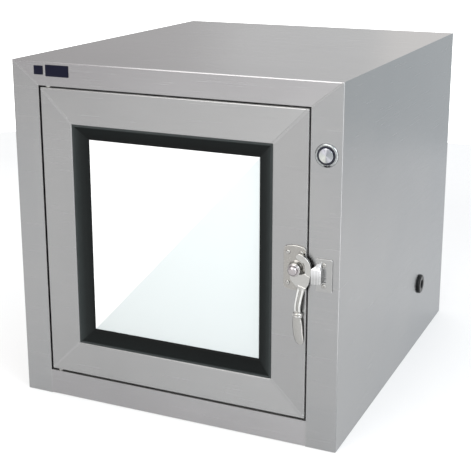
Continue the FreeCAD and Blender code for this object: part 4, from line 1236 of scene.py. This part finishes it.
# %% [markdown]
# ## Ground welds by Geometry Nodes
# The door tubes meet in mitres and the top sheet meets the stiles in mitres too, while the
# bottom rail butts between the stiles. Each joint is welded and ground, which leaves a faint
# bright band barely proud of the sheet. A tree sweeps a round profile along the joints and
# presses it flat against the face, so one width and one height set every weld.

# %% The weld tree
tree, given = new_tree("lay welds along joints", ("Width", "Float", 0.004),
                       ("Crown", "Float", 0.0001), ("Face", "Float", 0.0))
half = add(tree, "Math", {0: given.outputs["Width"], 1: 0.5}, operation="MULTIPLY")
paths = add(tree, "GeometryNodeMeshToCurve", {"Mesh": given.outputs["Geometry"]})
bar = add(tree, "GeometryNodeCurvePrimitiveCircle", {"Resolution": 20, "Radius": half})
swept = add(tree, "GeometryNodeCurveToMesh", {
    "Curve": paths, "Profile Curve": bar, "Fill Caps": True})
place = add(tree, "GeometryNodeInputPosition")
parts = add(tree, "SeparateXYZ", {"Vector": place}).outputs
proud = add(tree, "Math", {0: parts["Y"], 1: given.outputs["Face"]}, operation="SUBTRACT")
press = add(tree, "Math", {0: given.outputs["Crown"], 1: half}, operation="DIVIDE")
flat = add(tree, "Math", {0: proud, 1: press, 2: given.outputs["Face"]}, operation="MULTIPLY_ADD")
pressed = add(tree, "CombineXYZ", {"X": parts["X"], "Y": flat, "Z": parts["Z"]})
moved = add(tree, "GeometryNodeSetPosition", {"Geometry": swept, "Position": pressed})
welder = end_tree(tree, given, moved)
print("tree:", welder.name)

# %% Joints of the doors and of the cabinet's corners
HELD_BACK = 3.0 * MM
INNER_SHARE = 0.2


def joint(bm, start, end):
    """One joint between two (x, z) places on the front face, held back from both ends."""
    a = Vector((start[0], face_y, start[1]))
    b = Vector((end[0], face_y, end[1]))
    along = (b - a).normalized() * HELD_BACK
    bm.edges.new((bm.verts.new(a + along * INNER_SHARE), bm.verts.new(b - along)))


def door_joints(bm):
    for side in (-1, 1):
        joint(bm, (side * rubber_high.x, rubber_low.z), (side * door_high.x, door_low.z))
        joint(bm, (side * rubber_high.x, rubber_high.z), (side * door_high.x, door_high.z))


def cabinet_joints(bm):
    for side in (-1, 1):
        joint(bm, (side * opening_half, opening_high), (side * half_width, height))
        joint(bm, (side * opening_half, opening_low), (side * opening_half, 0.0))


# %% Welds
CROWN = 0.07 * MM
for end, turn in ENDS.items():
    for label, lay, width, body in (("door", door_joints, 5.0, f"{end}_door"),
                                    ("corner", cabinet_joints, 2.4, "cabinet")):
        bm = bmesh.new()
        lay(bm)
        welds = grow(f"{end}_{label}_welds", bm, welder, ground_weld, Width=width * MM,
                     Crown=CROWN, Face=face_y)
        welds.data.transform(turn)
        settle(welds, body)

# %% [markdown]
# ## Studio
# The cabinet stands on a light table: opal acrylic that glows from below, a little less behind
# the cabinet. Brushed steel shows mostly what it reflects, so the walls are shaded gently, cool
# and darker to the right, and low down behind. A softbox seen in the steel would burn a white
# patch, so some boxes here only light and some only mirror: the overhead and the strip make
# the bright lines along the bends, and light nothing else.

# %% Camera
AZIMUTH = math.radians(24.32)
ELEVATION = math.radians(14.76)
EYE = Vector((0.7315, -1.6930, 0.7912))
LENS = 81.29
SENSOR = 36.0
RISE = -0.0998
camera_data = bpy.data.cameras.new("camera")
camera_data.lens = LENS
camera_data.sensor_width = SENSOR
camera_data.shift_y = RISE
camera = bpy.data.objects.new("camera", camera_data)
camera.location = EYE
looking = Vector((-math.sin(AZIMUTH) * math.cos(ELEVATION),
                  math.cos(AZIMUTH) * math.cos(ELEVATION), -math.sin(ELEVATION)))
camera.rotation_euler = looking.to_track_quat("-Z", "Y").to_euler()
bpy.context.scene.collection.objects.link(camera)
bpy.context.scene.camera = camera
bpy.context.scene.view_settings.view_transform = "Standard"
print("camera", [round(value, 3) for value in camera.location])

# %% Floor
FLOOR_RADIUS = 2.9
FLOOR_FORWARD = 1.0
FLOOR_DROP = 0.5 * MM
GLOW = (0.37, 0.28)
GLOW_FADE = (0.5, 1.1)
# Opal acrylic lit from below: an even white without a horizon.
opal = moulded("opal_acrylic_light_table", "BDBDBD", "BABABA", 40.0, 0.8,
               Emission_Color=srgb("FFFFFF"))
tree = opal.node_tree
place = add(tree, "TexCoord").outputs["Object"]
parts = add(tree, "SeparateXYZ", {"Vector": place}).outputs
glow = add(tree, "MapRange", {
    "Value": parts["Y"], "From Min": GLOW_FADE[0], "From Max": GLOW_FADE[1],
    "To Min": GLOW[0], "To Max": GLOW[1]})
tree.links.new(glow.outputs[0], tree.nodes["Principled BSDF"].inputs["Emission Strength"])
bm = bmesh.new()
bmesh.ops.create_circle(bm, cap_ends=True, segments=96, radius=FLOOR_RADIUS)
bmesh.ops.translate(bm, verts=bm.verts[:], vec=(0, -FLOOR_FORWARD, -FLOOR_DROP))
make_piece("floor", bm, opal)
print("floor", FLOOR_RADIUS, "m in radius")

# %% Surroundings, white to the camera and shaded walls to everything else
ROOM_BRIGHTNESS = 2.0
# Tone of the walls by direction, from -1 at the left to 1 at the right.
WALLS = ((-0.6, "B4B2B2"), (-0.45, "C0BFBF"), (-0.4, "D2D2D2"), (-0.29, "D1D2D2"),
         (-0.27, "E4E2E0"), (-0.05, "E0E0E0"), (0.15, "D6D8D9"), (0.225, "D4D6D7"),
         (0.24, "CCD2D5"), (0.45, "CCD2D5"), (0.6, "D8DADC"))
WALL_SHADE = 0.63
SHADE_HEIGHT = (0.65, 0.3)
SHADE_BEHIND = (-0.3, 0.2)

world = bpy.data.worlds.new("studio")
bpy.context.scene.world = world
world.use_nodes = True
tree = world.node_tree
tree.nodes.clear()
direction = add(tree, "TexCoord").outputs["Generated"]
parts = add(tree, "SeparateXYZ", {"Vector": direction}).outputs
share = add(tree, "MapRange", {"Value": parts["X"], "From Min": -1.0})
walls = add(tree, "ValToRGB", {"Fac": share}, [((place + 1) / 2, code) for place, code in WALLS])
low, behind = (add(tree, "MapRange", {"Value": parts[axis], "From Min": start, "From Max": full})
               for axis, (start, full) in (("Z", SHADE_HEIGHT), ("Y", SHADE_BEHIND)))
dim = add(tree, "Math", {0: low, 1: behind}, operation="MULTIPLY")
shade = add(tree, "MapRange", {"Value": dim, "To Min": 1.0, "To Max": WALL_SHADE})
room = add(tree, "VectorMath", {0: walls, "Scale": shade}, operation="SCALE")
ray = add(tree, "LightPath")
seen = add(tree, "Mix", {
    "Factor": ray.outputs["Is Camera Ray"], "A": room, "B": srgb("FFFFFF")}, data_type="RGBA")
background = add(tree, "Background", {"Color": seen, "Strength": ROOM_BRIGHTNESS})
add(tree, "OutputWorld", {"Surface": background})
print("walls of", len(WALLS), "tones")

# %% Softboxes
# Name, place, aim, size, watts, colour, and what it may do if not everything.
SOFTBOXES = (
    ("key", (-0.6, -3.2, 2.5), (-0.2, -0.9, 0.1), (2.8, 2.2), 62, "FFFDFA", None),
    ("fill", (2.0, -1.3, 1.6), (1.0, -0.6, 0), (1.0, 1.0), 20, "F8FAFF", None),
    ("back", (0.7, 3.0, 1.0), (0.2, 0.3, 0.4), (1.2, 1.2), 3, "A0C0FF", "light"),
    ("overhead", (-0.9, -0.9, 2.6), (-0.3, -0.4, 0.4), (1.6, 0.7), 5, "FFFFFF", "mirror"),
    ("strip", (0.55, -0.44, 0.27), (0.27, -0.32, 0.27), (0.09, 0.54), 0.36, "FFFFFF", "mirror"),
)
for name, place, aim, size, watts, colour, only in SOFTBOXES:
    light = bpy.data.lights.new(name, "AREA")
    light.shape = "RECTANGLE"
    light.size, light.size_y = size
    light.energy = watts
    light.color = srgb(colour)[:3]
    lamp = bpy.data.objects.new(name, light)
    lamp.location = place
    lamp.rotation_euler = (Vector(aim) - Vector(place)).to_track_quat("-Z", "Y").to_euler()
    lamp.visible_camera = False
    lamp.visible_glossy = only != "light"
    lamp.visible_diffuse = only != "mirror"
    bpy.context.scene.collection.objects.link(lamp)
print("lights:", len(SOFTBOXES), "softboxes")
